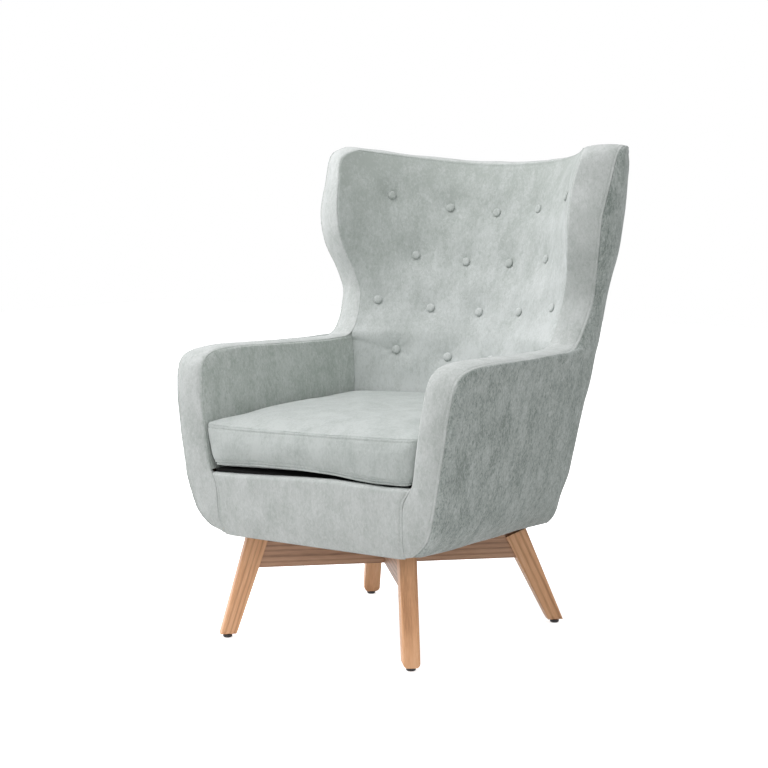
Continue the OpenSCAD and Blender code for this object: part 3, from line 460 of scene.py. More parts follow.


# One cloth in lit and shaded copies: the plain cover, darker copies with painted shade, and copies with
# gradients of painted light and shade
velvetPlain = makeVelvet("sageVelvet", "#a6ada8", "#c0c5c2")
# The inside arms: darker, painted shade
velvetInsideShaded = makeVelvet("sageVelvetInside", "#9ea7a0", "#bfc5c1", 0.35, 1.1)
# The outside covers: darker, painted shade, with a stronger mottle painted in for how the pile catches
# the light at a glancing view
velvetShaded = makeVelvet("sageVelvetBrushed", "#7c8680", "#b2b9b5", 0.35, 1.2)
# The cushion: painted shade that darkens it towards the rear and the right
velvetCushionShadedRear = makeVelvet("sageVelvetCushion", "#9ba39e", "#b4bbb7", 0.4, 1, (-0.1, -0.2, 0))
# The inside back and its buttons: painted light and shade, lighter towards the bottom and the right,
# darker towards the top
velvetBackLitLow = makeVelvet("sageVelvetBack", "#9da59f", "#c0c6c3", 0.4, 0.8, (0.1, 0, -0.6))


# Solid white oak with a clear satin lacquer: straight grain along each member, darker late-wood
# lines 6 to 12 mm apart, and short open pores
# The rails' tones are darker than the legs' as painted shade under the seat
oakSet = {"legs": ("#eac19a", "#d9a67b", "#ad7d56"), "rails": ("#cfa88a", "#b78f72", "#85644d"),
    "stops": (0.36, 0.66, 1.0), "lineSpacing": 0.011, "lineWave": 0.314, "lineSharpness": 2.4,
    "lineShare": 0.42, "gain": 0.62, "fibre": 0.0011, "stretch": 26.0, "roughness": 0.46,
    "poreBump": 0.25, "poreDepth": 0.0006, "specular": 0.4}


def makeOak(name, along, seed, tones, middle):
    # The pattern is turned so that its x runs along the member, and stretched along it
    material, tree, shader = newMaterial(name)
    x, upward = Vector(along).normalized(), Vector((0, 0, 1))
    z = upward if abs(x.z) < 0.5 else x.cross(Vector((x.x, x.y, 0)).normalized().cross(upward))
    z = (z - x * z.dot(x)).normalized()
    y = z.cross(x)
    turn = Matrix((x, y, z)).to_euler("XYZ")
    place = addNode(tree, "ShaderNodeTexCoord").outputs["Object"]
    centred = addNode(tree, "ShaderNodeVectorMath", {0: place}, {1: middle}, operation="SUBTRACT")
    turned = addNode(tree, "ShaderNodeMapping", {"Vector": centred.outputs["Vector"]},
        {"Rotation": turn, "Location": (seed * 0.37, seed * 0.11, seed * 0.053)})
    fibres = addNode(tree, "ShaderNodeMapping", {"Vector": turned.outputs["Vector"]},
        {"Scale": (1 / oakSet["stretch"], 1, 1)})
    rings = addNode(tree, "ShaderNodeTexWave", {"Vector": fibres.outputs["Vector"]},
        {"Scale": oakSet["lineWave"] / oakSet["lineSpacing"], "Distortion": 5.5, "Detail": 3.0,
         "Detail Scale": 0.55, "Detail Roughness": 0.55}, wave_type="BANDS", bands_direction="Z")
    fibre = addNode(tree, "ShaderNodeTexNoise", {"Vector": fibres.outputs["Vector"]},
        {"Scale": 1 / oakSet["fibre"], "Detail": 3.0, "Roughness": 0.6})
    flow = addNode(tree, "ShaderNodeTexNoise", {"Vector": fibres.outputs["Vector"]},
        {"Scale": 1 / (oakSet["lineSpacing"] * 1.6), "Detail": 2.0, "Roughness": 0.5})
    ringTone = addNode(tree, "ShaderNodeMath", {0: rings.outputs["Fac"]}, {1: oakSet["lineSharpness"]},
        operation="POWER")
    first = addNode(tree, "ShaderNodeMath", {0: fibre.outputs["Fac"], 1: flow.outputs["Fac"]},
        operation="ADD")
    second = addNode(tree, "ShaderNodeMath", {0: ringTone.outputs["Value"], 2: first.outputs["Value"]},
        {1: oakSet["lineShare"]}, operation="MULTIPLY_ADD")
    third = addNode(tree, "ShaderNodeMath", {0: second.outputs["Value"]}, {1: oakSet["gain"]},
        operation="MULTIPLY")
    tone = ramp(tree, third.outputs["Value"], list(zip(oakSet["stops"], tones)))
    bump = addNode(tree, "ShaderNodeBump", {"Height": fibre.outputs["Fac"]},
        {"Strength": oakSet["poreBump"], "Distance": oakSet["poreDepth"]})
    tree.links.new(tone.outputs["Color"], shader.inputs["Base Color"])
    tree.links.new(bump.outputs["Normal"], shader.inputs["Normal"])
    setShader(shader, Roughness=oakSet["roughness"], Specular_IOR_Level=oakSet["specular"])
    return material


# Finishes with a fine grain of one size, in metres
def makePlain(name, dark, light, size, roughness, metallic=0.0, stretch=(1, 1, 1)):
    material, tree, shader = newMaterial(name)
    place = addNode(tree, "ShaderNodeTexCoord").outputs["Object"]
    scaled = addNode(tree, "ShaderNodeMapping", {"Vector": place}, {"Scale": stretch})
    grain = addNode(tree, "ShaderNodeTexNoise", {"Vector": scaled.outputs["Vector"]},
        {"Scale": 1 / size, "Detail": 3.0, "Roughness": 0.6})
    tone = ramp(tree, grain.outputs["Fac"], [(0.3, dark), (0.7, light)])
    bump = addNode(tree, "ShaderNodeBump", {"Height": grain.outputs["Fac"]},
        {"Strength": 0.3, "Distance": 0.0002})
    tree.links.new(tone.outputs["Color"], shader.inputs["Base Color"])
    tree.links.new(bump.outputs["Normal"], shader.inputs["Normal"])
    setShader(shader, Roughness=roughness, Metallic=metallic)
    return material


# Pine, sawn and left raw: pale yellow and matt
pine = makePlain("sawnPine", "#c7a878", "#e0c79b", 0.004, 0.7, stretch=(1, 1, 0.2))
# Fibreboard, pressed: brown, matt and speckled
board = makePlain("pressedFibreboard", "#8a6a47", "#a5845c", 0.003, 0.85)
# Jute and rubber webbing, woven: dark and dull
webbing = makePlain("wovenWebbing", "#2c2a29", "#4a4643", 0.0025, 0.9)
# Polypropylene lining, spun: black with no shine
lining = makePlain("spunBlackLining", "#161616", "#242424", 0.0015, 0.95)
# Steel, zinc-plated: grey with a soft metal shine
steel = makePlain("zincPlatedSteel", "#9b9ea3", "#b9bcc0", 0.003, 0.38, 1.0)
# Nylon, moulded: near black, half matt
plastic = makePlain("mouldedNylonGlide", "#232325", "#303033", 0.0015, 0.5)
# Polyester thread, spun: the cloth's colour, a little paler
thread = makePlain("spunSewingThread", "#b3bab5", "#c6ccc8", 0.0008, 0.7)
print("materials made")


def finish(piece, material, body, nodes=()):
    piece.data.materials.append(material)
    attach(piece, body)
    if nodes:
        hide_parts(*nodes)


# Inside back: a bowed pad, drawn in at 18 buttons
backSet = {"spread": 0.235, "rows": [9, 11, 13, 15], "lift": 0.45, "dimple": 0.0026,
    "dimpleReach": 0.012, "folds": 0.0004, "unevenness": 0.0007, "tuck": 0.005, "press": 0.001,
    "width": 0.58, "length": 0.82, "columns": 150, "rowCount": 170}
buttonPlaces = [(k, backSet["rows"][i]) for i in range(4)
    for k in ((-0.75, -0.25, 0.25, 0.75) if i % 2 == 0 else (-1, -0.51, 0, 0.51, 1))]
buttonSteps = np.array([t for _, t in buttonPlaces], float)
buttonShares = np.array([k for k, _ in buttonPlaces]) * backSet["spread"] \
    / curve(backEdge, buttonSteps)[:, 0]
buttonPoints = insideBackPoint(buttonShares, buttonSteps)


def insideBackSurface(share, t):
    # The bow, lifted between the buttons by the eased distance to the nearest one, with a steep
    # dimple and short radial folds round each button
    base = insideBackPoint(share, t)
    n = normals(base)
    n = np.where(n[..., 1:2] > 0, -n, n)
    offset = base[..., None, :] - buttonPoints
    distance = np.linalg.norm(offset, axis=-1)
    near = distance.min(-1)
    q = np.abs(share)
    fade = ease((1 - q) / 0.22) * ease((t - 6.5) / 2) * ease((17 - t) / 1.2)
    lift = backSet["lift"] * shell["tuftDepth"] * ease(near / shell["tuftReach"]) * fade
    dimple = -backSet["dimple"] * np.exp(-(distance / backSet["dimpleReach"])**2).sum(-1)
    angle = np.arctan2(offset[..., 2], offset[..., 0])
    folds = np.cos(7 * angle + 3 * np.arange(18)) * np.exp(-((distance - 0.02) / 0.016)**2)
    height = lift + dimple + backSet["folds"] * folds.sum(-1)
    height += backSet["unevenness"] * waves(base[..., 0], base[..., 2], 0.06, 3) * fade
    return base + n * height[..., None]


def makeInsideBack():
    # It runs down behind the deck; above the arms its sides meet the border in a rounded corner,
    # and at the waist they are tucked in and pressed down
    across = lines(backSet["columns"], backSet["width"], seamEdges)
    up = lines(backSet["rowCount"], backSet["length"], seamEdges)
    steps = mixed(coverSteps["behindDeck"], coverSteps["top"], up)
    share, t = np.meshgrid(mixed(-1.0, 1.0, across), steps)
    corner = ease((t - 9.6) / 0.4)
    waist = ease((t - 9.5) / 0.5) * ease((13.2 - t) / 1.6)
    share = share * (1 - 0.9 * innerRound(t) * corner + backSet["tuck"] * waist)
    front = insideBackSurface(share, t)
    n = normals(front)
    outward = -1 if n[len(n) // 2, n.shape[1] // 2, 1] > 0 else 1
    radius = mixed(rounds["seam"], innerRound(t), corner)
    inset = cornerInset * radius * corner
    height = outward * seamLines(front, {"row1": (0.005, 0.0015, True), "col0": (radius, inset, False),
        "col1": (radius, inset, False)})
    along = lengths(front, 1)
    edge = np.minimum(along, along[:, -1:] - along)
    height = height - outward * backSet["press"] * waist * np.exp(-(edge / 0.007)**2)
    base = insideBackPoint(share, t)
    back = base - normals(base) * outward * shell["cover"] * 1.2
    front = fitted(front + n * height[..., None])
    keepStitches("chair", front, row=-1 - stitchColumn, flip=outward < 0)
    piece = closedPad("insideBack", front, fitted(back))
    finish(piece, velvetBackLitLow, "chair", ("inside_back_cover", "back_foam"))


makeInsideBack()
print("inside back made")


# Covered buttons: a domed profile turned round each button's own axis
buttonSet = {"radius": 0.0098, "height": 0.0050, "sides": 40, "sink": 0.0006}


def makeButtons():
    # Each sits along the surface's normal, from its slopes a small step h to both sides
    h, k, t = 0.02, buttonShares, buttonSteps
    n = unit(np.cross(insideBackPoint(k + h, t) - insideBackPoint(k - h, t),
        insideBackPoint(k, t + h) - insideBackPoint(k, t - h)))
    n = np.where(n[:, 1:2] > 0, -n, n)
    side = unit(np.cross(n, [0, 0, 1.0]))
    up = np.cross(side, n)
    profile = np.array([[0.62, -0.25], [0.86, -0.2], [0.97, 0.02], [1, 0.22], [0.985, 0.4],
        [0.93, 0.58], [0.82, 0.75], [0.66, 0.88], [0.45, 0.965], [0.22, 0.995], [0.08, 1]])
    a = np.arange(buttonSet["sides"]) * 2 * pi / buttonSet["sides"]
    rings, sides = len(profile), buttonSet["sides"]
    r = profile[:, 0, None] * buttonSet["radius"] * (1 + 0.012 * np.cos(9 * a))
    z = profile[:, 1, None] * buttonSet["height"] + 0 * a
    flat = np.stack([r * np.cos(a), r * np.sin(a), z], -1).reshape(-1, 3)
    ends = profile[[0, -1], 1] * buttonSet["height"]
    flat = np.concatenate([flat, np.stack([0 * ends, 0 * ends, ends], 1)])
    spots = buttonPoints - n * buttonSet["sink"]
    points = spots[:, None] + sum(flat[None, :, i, None] * way[:, None]
        for i, way in enumerate((side, up, n)))
    ring, nextRing, quads = ringQuads(rings, sides)
    low = np.stack([nextRing[0], ring[0], np.full(sides, rings * sides)], -1)
    high = np.stack([ring[-1], nextRing[-1], np.full(sides, rings * sides + 1)], -1)
    shift = (np.arange(len(spots)) * len(flat))[:, None, None]
    faces = [(q[None] + shift).reshape(-1, q.shape[1]) for q in (quads, low, high)]
    if signedVolume(points[0], quads) < 0:
        faces = [f[:, ::-1] for f in faces]
    piece = addMesh("backButtons", points.reshape(-1, 3), faces)
    finish(piece, velvetBackLitLow, "chair", ("back_buttons",))


makeButtons()
print("buttons made")


# Inside arms
armSet = {"width": 0.45, "length": 0.5, "start": 0.0033, "columns": 60, "rowCount": 90,
    "swell": 0.003, "swellReach": 0.03, "swellFrom": 0.47, "unevenness": 0.0006}
deckStep = float(np.interp(deckTop, innerSeam[:7, 2], np.arange(7)))
bothSides = (("Right", lambda p: p), ("Left", mirrored))


def makeInsideArms():
    # Each stands proud by its swell above the cushion, and meets its seams flat
    across = lines(armSet["columns"], armSet["width"], seamEdges)
    up = lines(armSet["rowCount"], armSet["length"], seamEdges)
    s, t = np.meshgrid(mixed(armSet["start"], 1.0, across), mixed(deckStep, coverSteps["armTop"], up))
    base = insideArmPoint(s, t)
    n = normals(base)
    inward = -1 if n[len(n) // 3, n.shape[1] // 2, 0] > 0 else 1
    above = ease((base[..., 2] - armSet["swellFrom"]) / 0.05)
    edge = np.minimum(lengths(base, 1), armSet["swellReach"]) / armSet["swellReach"]
    rough = armSet["unevenness"] * waves(base[..., 1], base[..., 2], 0.05, 5)
    front = base + n * inward * (armSet["swell"] * ease(edge) * above + rough * above)[..., None]
    height = inward * seamLines(front, {"col0": (innerRound(t), cornerInset * innerRound(t), True),
        "col1": (rounds["seam"], 0, False)})
    back = base - n * inward * shell["cover"]
    front = front + normals(front) * height[..., None]
    for side, turn in bothSides:
        keepStitches("chair", turn(front), column=stitchColumn, flip=(inward < 0) == (side == "Right"))
        piece = closedPad("insideArm" + side, turn(front), turn(back))
        nodes = ("inside_arm_cover_" + side.lower(), "arm_foam_" + side.lower())
        finish(piece, velvetInsideShaded, "chair", nodes)


makeInsideArms()
print("inside arms made")


# Outside covers: each side with its front edge rounded over, and the back between them
outsideSet = {"sideWidth": 0.52, "sideColumns": 78, "backWidth": 0.7, "backColumns": 90,
    "height": 1.0, "rowCount": 150, "roundOver": (0.0085, 0.004), "roundWidth": 0.024,
    "pinch": 0.003, "pinches": ((6.6, 1.1), (11.3, 1.6)), "unevenness": 0.0005}
outsideHems = {"row0": (rounds["hem"], 0, False), "row1": (rounds["top"], 0.0012, False)}


outsideUp = mixed(coverSteps["foot"], coverSteps["top"],
    lines(outsideSet["rowCount"], outsideSet["height"], seamEdges))


def makeOutsideSides():
    # A quarter ellipse rolls each side's front edge over, less at the two pinches
    u, t = np.meshgrid(lines(outsideSet["sideColumns"], outsideSet["sideWidth"], seamEdges), outsideUp)
    base = outsidePoint(u, t)
    n = normals(base)
    outward = 1 if n[len(n) // 2, n.shape[1] // 2, 0] > 0 else -1
    d = lengths(base, 1)
    most = mixed(*outsideSet["roundOver"], ease((t - 7) / 5))
    for step, reach in outsideSet["pinches"]:
        most = most - outsideSet["pinch"] * np.exp(-((t - step) / reach)**2)
    over = most * np.sqrt(1 - (1 - np.clip(d / outsideSet["roundWidth"], 0, 1))**2)
    settle = 1 - ease((u - 0.1) / 0.55)
    keep = ease(t / 0.6) * ease((17 - t) / 0.8)
    rough = outsideSet["unevenness"] * waves(base[..., 1], base[..., 2], 0.07, 8) * ease(d / 0.06)
    front = base + n * outward * (over * settle * keep + rough)[..., None]
    height = outward * seamLines(front, {**outsideHems, "col0": (0.0015, 0, False),
        "col1": (rounds["seam"], 0, False)})
    back = base - n * outward * shell["cover"]
    front = front + normals(front) * height[..., None]
    for side, turn in bothSides:
        piece = closedPad("outside" + side, turn(fitted(front)), turn(fitted(back)))
        finish(piece, velvetShaded, "chair", ("outside_cover_" + side.lower(),))


def makeOutsideBack():
    across = lines(outsideSet["backColumns"], outsideSet["backWidth"], seamEdges)
    k, t = np.meshgrid(mixed(-1.0, 1.0, across), outsideUp)
    base = outsidePoint(2 - np.abs(k), t)
    base[..., 0] = np.where(k < 0, -base[..., 0], base[..., 0])
    n = normals(base)
    outward = 1 if n[len(n) // 2, n.shape[1] // 2, 1] > 0 else -1
    rough = outsideSet["unevenness"] * waves(base[..., 0], base[..., 2], 0.08, 9)
    front = base + n * outward * rough[..., None]
    height = outward * seamLines(front, {**outsideHems, "col0": (rounds["seam"], 0, True),
        "col1": (rounds["seam"], 0, True)})
    front = fitted(front + normals(front) * height[..., None])
    for column in (stitchColumn, -1 - stitchColumn):
        keepStitches("chair", front, column=column, flip=outward < 0)
    piece = closedPad("outsideBack", front, fitted(base - n * outward * shell["cover"]))
    finish(piece, velvetShaded, "chair", ("outside_back_cover",))


makeOutsideSides()
makeOutsideBack()
print("outside covers made")


# Border: one padded band up the left front edge, over the back and down the right one
borderSet = {"crown": 0.0052, "depth": 0.012, "width": 0.066, "columns": 16, "sideRows": 300,
    "topRows": 130, "spacing": 0.0052, "ends": 0.009, "smoothing": 3, "lean": 0.004,
    "unevenness": 0.0005, "pucker": 0.0003}


def borderPath():
    # Pairs of seam points along the band, from the left foot of the border to the right one, and
    # how far each pair is into the corner seams: with the inside covers, and with the outside back
    t = np.linspace(0.03, 17, borderSet["sideRows"])
    inner, outer = curve(innerSeam, t), curve(outerSeam, t)
    q = np.linspace(1, -1, borderSet["topRows"])[1:-1]
    size = np.abs(q)
    u = np.where(size > 0.86, (1 - size) / 0.14, 1 + (0.86 - size) / 0.86)
    side = np.where(q < 0, -1, 1)[:, None] * [1, 0, 0] + [0, 1, 1]
    topIn = insideBackPoint(size, np.full_like(q, lastStep)) * side
    topOut = outsidePoint(u, np.full_like(q, lastStep)) * side
    a = np.concatenate([inner, topIn, mirrored(inner[::-1])])
    b = np.concatenate([outer, topOut, mirrored(outer[::-1])])
    within, over = ease((t - 2.5) / 0.6), ease((t - 16) / 1)
    ends = ((within * innerRound(t), cornerSet["round"]), (within, 1), (over, 1))
    return a, b, [np.concatenate([k, 0 * q + end, k[::-1]]) for k, end in ends]


def evenly(a, b, shares, spacing):
    # The path again at an even spacing of its middle line, closer at its feet, and its seams smoothed
    s = lengths((a + b) / 2, 0)
    close = np.array([0, 0.0008, 0.0018, 0.003, 0.0045, 0.0065])
    goal = np.linspace(borderSet["ends"], s[-1] - borderSet["ends"], int(s[-1] / spacing))
    goal = np.concatenate([close, goal, s[-1] - close[::-1]])
    even = np.linspace(0, s[-1], len(goal))
    pair = [np.stack([np.interp(even, s, line[:, i]) for i in range(3)], 1) for line in (a, b)]
    for _ in range(borderSet["smoothing"]):
        for line in pair:
            line[1:-1] = 0.25 * line[:-2] + 0.5 * line[1:-1] + 0.25 * line[2:]
    pair = [np.stack([np.interp(goal, even, line[:, i]) for i in range(3)], 1) for line in pair]
    return pair[0], pair[1], goal, [np.interp(goal, s, k) for k in shares]


def makeBorder():
    a, b, s, (innerCorner, within, over) = evenly(*borderPath(), borderSet["spacing"])
    along = unit(np.gradient(a + b, s, axis=0))
    across = unit(b - a)
    out = unit(np.cross(across, along))
    out = out * (1 if out[len(s) // 2, 2] > 0 else -1)
    width = np.linalg.norm(b - a, axis=1)
    innerCorner = mixed(rounds["seam"], innerCorner, within)
    outerRound = mixed(rounds["seam"], rounds["top"], over)
    first = (cornerInset * innerCorner * within / width)[:, None]
    last = (cornerInset * outerRound * over / width)[:, None]
    k = lines(borderSet["columns"], borderSet["width"], seamEdges)
    kk = first + (1 - first - last) * k
    base = a[:, None] + (b - a)[:, None] * kk[..., None]
    fade = ease(4 * width / borderSet["depth"] - 4)[:, None]
    crown = borderSet["crown"] * fade * (1 - np.abs(2 * k - 1)**2.4) * (0.4 + 0.6 * within)[:, None]
    rough = borderSet["unevenness"] * waves(s[:, None], k * borderSet["width"], 0.045, 12) \
        * ease(np.minimum(k, 1 - k) * 6)
    inner, outer = kk * width[:, None], (1 - kk) * width[:, None]
    foot, edge = np.minimum(s, s[-1] - s), np.minimum(inner, outer)
    pucker = borderSet["pucker"] * waviness(s, 5)[:, None] * np.exp(-(edge / 0.008)**1.5) \
        * (1 - np.exp(-edge / 0.0012))
    height = crown + rough + rolled(inner, innerCorner[:, None]) + rolled(outer, outerRound[:, None]) \
        + rolled(foot, rounds["hem"])[:, None] + stitchedLine(outer, stitchAt) + pucker
    front = fitted(base + out[:, None] * height[..., None])
    lean = np.clip((k - 0.5) * 2, -1, 1) * -borderSet["lean"]
    back = base - out[:, None] * borderSet["depth"] + across[:, None] * lean[..., None]
    keepStitches("chair", front, column=-1 - stitchColumn, flip=(normals(front)[len(s) // 2, 8, 2] < 0))
    piece = closedPad("border", front, fitted(back))
    finish(piece, velvetPlain, "chair", ("border_left", "border_right", "top_border"))


makeBorder()
print("border made")


# Front panel below the cushion. Its top edge, as [x, height], falls towards the left
panelSet = {"width": 0.5, "height": 0.14, "half": 0.262, "columns": 110, "rowCount": 36,
    "crown": 0.0035, "bend": 0.0004, "rollOver": 0.009, "inset": 0.015, "thin": 0.004,
    "unevenness": 0.0006}
panelTop = np.array([[-0.262, 0.3590], [-0.19, 0.3610], [-0.123, 0.3640], [0, 0.3702],
    [0.064, 0.3722], [0.13, 0.3708], [0.197, 0.3690], [0.262, 0.3722]])


def makeFrontPanel():
    # Rows run level from the foot up to the top edge, and end on the border's inner seam
    across = lines(panelSet["columns"], panelSet["width"], seamEdges)
    up = lines(panelSet["rowCount"], panelSet["height"], seamEdges)
    q, up = np.meshgrid(mixed(-1, 1, across), up)
    steps = np.linspace(0, 4, 400)
    seam = curve(innerSeam, steps)
    z = mixed(seam[3, 2], np.interp(q * panelSet["half"], panelTop[:, 0], panelTop[:, 1]), up)
    t = np.interp(z, seam[:, 2], steps)
    p = curve(innerSeam, t)
    base = np.stack([q * p[..., 0], p[..., 1] + panelSet["bend"] * q**4, p[..., 2]], -1)
    n = normals(base)
    outward = -1 if n[5, 50, 1] > 0 else 1
    crown = panelSet["crown"] * (1 - q**4) * ease((t + 0.2) / 0.5)
    rough = panelSet["unevenness"] * waves(base[..., 0], base[..., 2], 0.05, 21)
    over = rolled(lengths(base, 0)[-1:] - lengths(base, 0), panelSet["rollOver"])
    front = base + n * outward * (crown + rough + over)[..., None]
    height = outward * seamLines(front, {"row0": (rounds["hem"], 0, False),
        "col0": (rounds["seam"], 0, True), "col1": (rounds["seam"], 0, True)})
    front = fitted(front + normals(front) * height[..., None])
    back = fitted(base)
    back[..., 1] = np.maximum(bodyFront + panelSet["inset"], base[..., 1] + panelSet["thin"])
    for column in (stitchColumn, -1 - stitchColumn):
        keepStitches("chair", front, column=column, flip=outward < 0)
    piece = closedPad("frontPanel", front, back)
    finish(piece, velvetPlain, "chair", ("front_panel",))


makeFrontPanel()
print("front panel made")


# Deck under the cushion, and the dust cover below the seat frame
deckSet = {"low": 0.327, "sideGap": 0.001, "rearGap": 0.006, "frontInset": 0.018,
    "edgeRound": 0.008, "unevenness": 0.0002}
dustSet = {"top": 0.2268, "low": 0.2260, "hem": 0.0003, "sideInset": 0.012, "rearInset": 0.005,
    "frontInset": (0.016, 0.024)}


def fanGrid(outline, z, count, edge):
    # Rings from the outline in to its middle, at one height but for the rounded edge
    middle = outline.mean(0)
    k = np.concatenate([[0, 0.004, 0.01, 0.02], np.linspace(0.04, 1, count)])[:, None, None]
    ring = outline[None] + (middle - outline)[None] * k
    away = np.linalg.norm(ring - outline[None], axis=-1)
    height = z + (rolled(away, edge) if edge else 0 * away)
    return np.concatenate([ring, height[..., None]], -1), away


def closedDisc(name, top, low):
    index, following, quads = ringQuads(*top.shape[:2])
    n = index.size
    wall = np.stack([index[0], index[0] + n, following[0] + n, following[0]], -1)
    vertices = np.concatenate([top.reshape(-1, 3), low.reshape(-1, 3)])
    faces = np.concatenate([quads, quads[:, ::-1] + n, wall])
    if signedVolume(vertices, faces) < 0:
        faces = faces[:, ::-1]
    return addMesh(name, vertices, [faces])


def makeDeck():
    # Straight at the front, and bowed at the rear as the inside back is
    e, m = (curve(guide, float(np.interp(deckTop, guide[:, 2], np.arange(len(guide)))))
        for guide in (crease, insideMiddle))
    q, gap = np.linspace(1, -1, 80), deckSet["rearGap"]
    rear = np.stack([q * (e[0] - gap), e[1] - gap + (m[1] - e[1]) * (1 - np.abs(q)**1.75)], 1)
    half = curve(innerSeam, deckStep)[0] - deckSet["sideGap"]
    front = np.stack([np.linspace(-1, 1, 60) * half, np.full(60, bodyFront + deckSet["frontInset"])], 1)
    top, _ = fanGrid(np.concatenate([front, rear]), deckTop - 0.0004, 18, deckSet["edgeRound"])
    top[..., 2] += deckSet["unevenness"] * waves(top[..., 0], top[..., 1], 0.05, 31)
    low = top.copy()
    low[..., 2] = deckSet["low"]
    piece = closedDisc("deck", top, low)
    finish(piece, lining, "chair", ("deck_pad", "deck_cloth"))


def makeDustCover():
    # Flat, to the outline of the underside, with its hem folded in
    u = np.linspace(0.06, 1.9, 60)
    inset = np.stack([0 * u + dustSet["sideInset"], dustSet["rearInset"] * u], 1)
    side = outsidePoint(u, 0 * u + coverSteps["foot"])[:, :2] - inset
    first = [innerSeam[0, 0] - dustSet["frontInset"][0], bodyFront + dustSet["frontInset"][1]]
    half = np.concatenate([[first], side[1:]])
    outline = np.concatenate([half, half[::-1] * [-1, 1]])
    top, away = fanGrid(outline, dustSet["top"], 14, 0)
    low = top.copy()
    low[..., 2] = dustSet["low"] + dustSet["hem"] * ease(away / 0.02)
    piece = closedDisc("dustCover", top, low)
    finish(piece, lining, "chair", ("dust_cover",))


makeDeck()
makeDustCover()
print("deck and dust cover made")


# Loose cushion: its walls follow the arms and the back, its top is crowned and climbs towards the
# back, and cloth under pressure swells between the seams before these are pressed in
cushionSet = {"low": 0.3734, "height": 0.085, "crown": 0.016, "rise": 0.027, "sag": 0.004,
    "swell": 0.0015, "gap": 0.0012, "rearGap": 0.007, "frontGap": 0.0015, "lowest": 0.3675,
    "drawn": (0.046, 0.016), "sideCount": 62, "cornerCount": 9, "cornerShare": 0.055,
    "unevenness": 0.0011, "topUnevenness": 0.0012, "dent": 0.006, "dentPlace": (0.235, -0.26)}
clothSet = {"frames": 20, "quality": 5, "mass": 0.35, "pressure": 3.0, "shrink": -0.012,
    "stretch": 18, "bending": 0.35, "cap": 0.006, "smoothing": 14, "share": 0.7}
weltSet = {"inset": 0.0042, "groove": 0.0016, "grooveWidth": 0.0013, "ridge": 0.0007,
    "ridgeAt": 0.0034, "ridgeWidth": 0.0016, "pucker": 0.0003, "stitch": (0.0009, 0.0013)}
# The front's two seams: [x, height] of the lower one, and of the top one, from the left corner
lowSeamLine = np.array([[-0.262, 0.3752], [-0.235, 0.3766], [-0.13, 0.3795], [-0.03, 0.3812],
    [0.063, 0.379], [0.125, 0.3738], [0.174, 0.3716], [0.225, 0.3745], [0.262, 0.379]])
topSeamLine = np.array([[-0.268, 0.4588], [-0.122, 0.4605], [0.061, 0.4640], [0.186, 0.4672],
    [0.272, 0.4690]])


def cushionOutline():
    # A rounded unit square, counter-clockwise from its front right corner, closer at its corners
    c = cushionSet["cornerShare"]
    q = np.linspace(-1, 1, cushionSet["sideCount"] + 1)[:-1]
    side = np.stack([1 + 0 * q, (1 - c) * mixed(q, np.sin(q * pi / 2), 0.35)], 1)
    a = np.linspace(0, pi / 2, cushionSet["cornerCount"] + 1)[:-1]
    quarter = np.concatenate([side, np.stack([1 - c + c * np.cos(a), 1 - c + c * np.sin(a)], 1)])
    turns = np.array([[[1, 0], [0, 1]], [[0, 1], [-1, 0]], [[-1, 0], [0, -1]], [[0, -1], [1, 0]]])
    return np.concatenate([quarter @ turn for turn in turns])


def spaceAt(z, share, depthShare):
    # Half the width between the arms, and where the back's surface is, at a height
    seam = curve(innerSeam, np.interp(z, innerSeam[:7, 2], np.arange(7)))[..., 0]
    side = curve(crease, np.interp(z, crease[:, 2], np.arange(10)))
    middle = curve(insideMiddle, np.interp(z, insideMiddle[:, 2], np.arange(18)))[..., 1]
    rear = middle - (middle - side[..., 1]) * np.abs(share)**1.75
    return mixed(seam, side[..., 0], depthShare), rear


def cushionWall(p, k):
    # The outline p at the share k of the height, with its points in metres
    z = cushionSet["low"] + k * cushionSet["height"]
    puff = cushionSet["swell"] * (1 - 4 * k * (1 - k))
    depthShare = (p[..., 1] + 1) / 2
    # The top climbs from the front edge to the back, steeply at first
    rise = cushionSet["rise"] * k * (1 - (1 - depthShare)**2.5)
    half, rear = spaceAt(z + rise, p[..., 0], depthShare)
    front = bodyFront + cushionSet["frontGap"] + puff
    y = mixed(front, rear - cushionSet["rearGap"] - puff, depthShare)
    # Low down at the front the corners are drawn in, the left one more
    left, right = (share * ease(turn * p[..., 0]) * (1 - k)**2.2
        for turn, share in zip((-1, 1), cushionSet["drawn"]))
    drawn = 1 - (left + right) * ease(-p[..., 1] * 1.4 - 0.2)
    x = p[..., 0] * drawn * (half - cushionSet["gap"] - puff)
    near = ease((-y - 0.2) / 0.2)
    low = np.interp(x, lowSeamLine[:, 0], lowSeamLine[:, 1]) - cushionSet["low"]
    top = np.interp(x, topSeamLine[:, 0], topSeamLine[:, 1]) - cushionSet["low"] - cushionSet["height"]
    lift = mixed(low * near, top * mixed(0.35, 1.0, near), k)
    return np.stack([x, y, z + rise + lift + 0 * y], -1)


def cushionDisc(p, k, r, rise):
    # Rings of the outline at the share k of the height, drawn in to the shares r of their reach.
    # The height goes over to the outline's mean by r squared, and bulges by 1 - r to the power 2.6
    rearMiddle = spaceAt(np.array(cushionSet["low"]), np.array(0.0), 0.5)[1]
    middle = np.array([0, (bodyFront + rearMiddle) / 2])
    r = r[:, None, None]
    edge = cushionWall(p + 0 * r, np.full((len(r), 1), k))
    flat = mixed(middle, edge[..., :2], r)
    level = mixed(edge[..., 2:].mean(1, keepdims=True), edge[..., 2:], r**2)
    return np.concatenate([flat, level + rise * (1 - r**2.6)], -1)


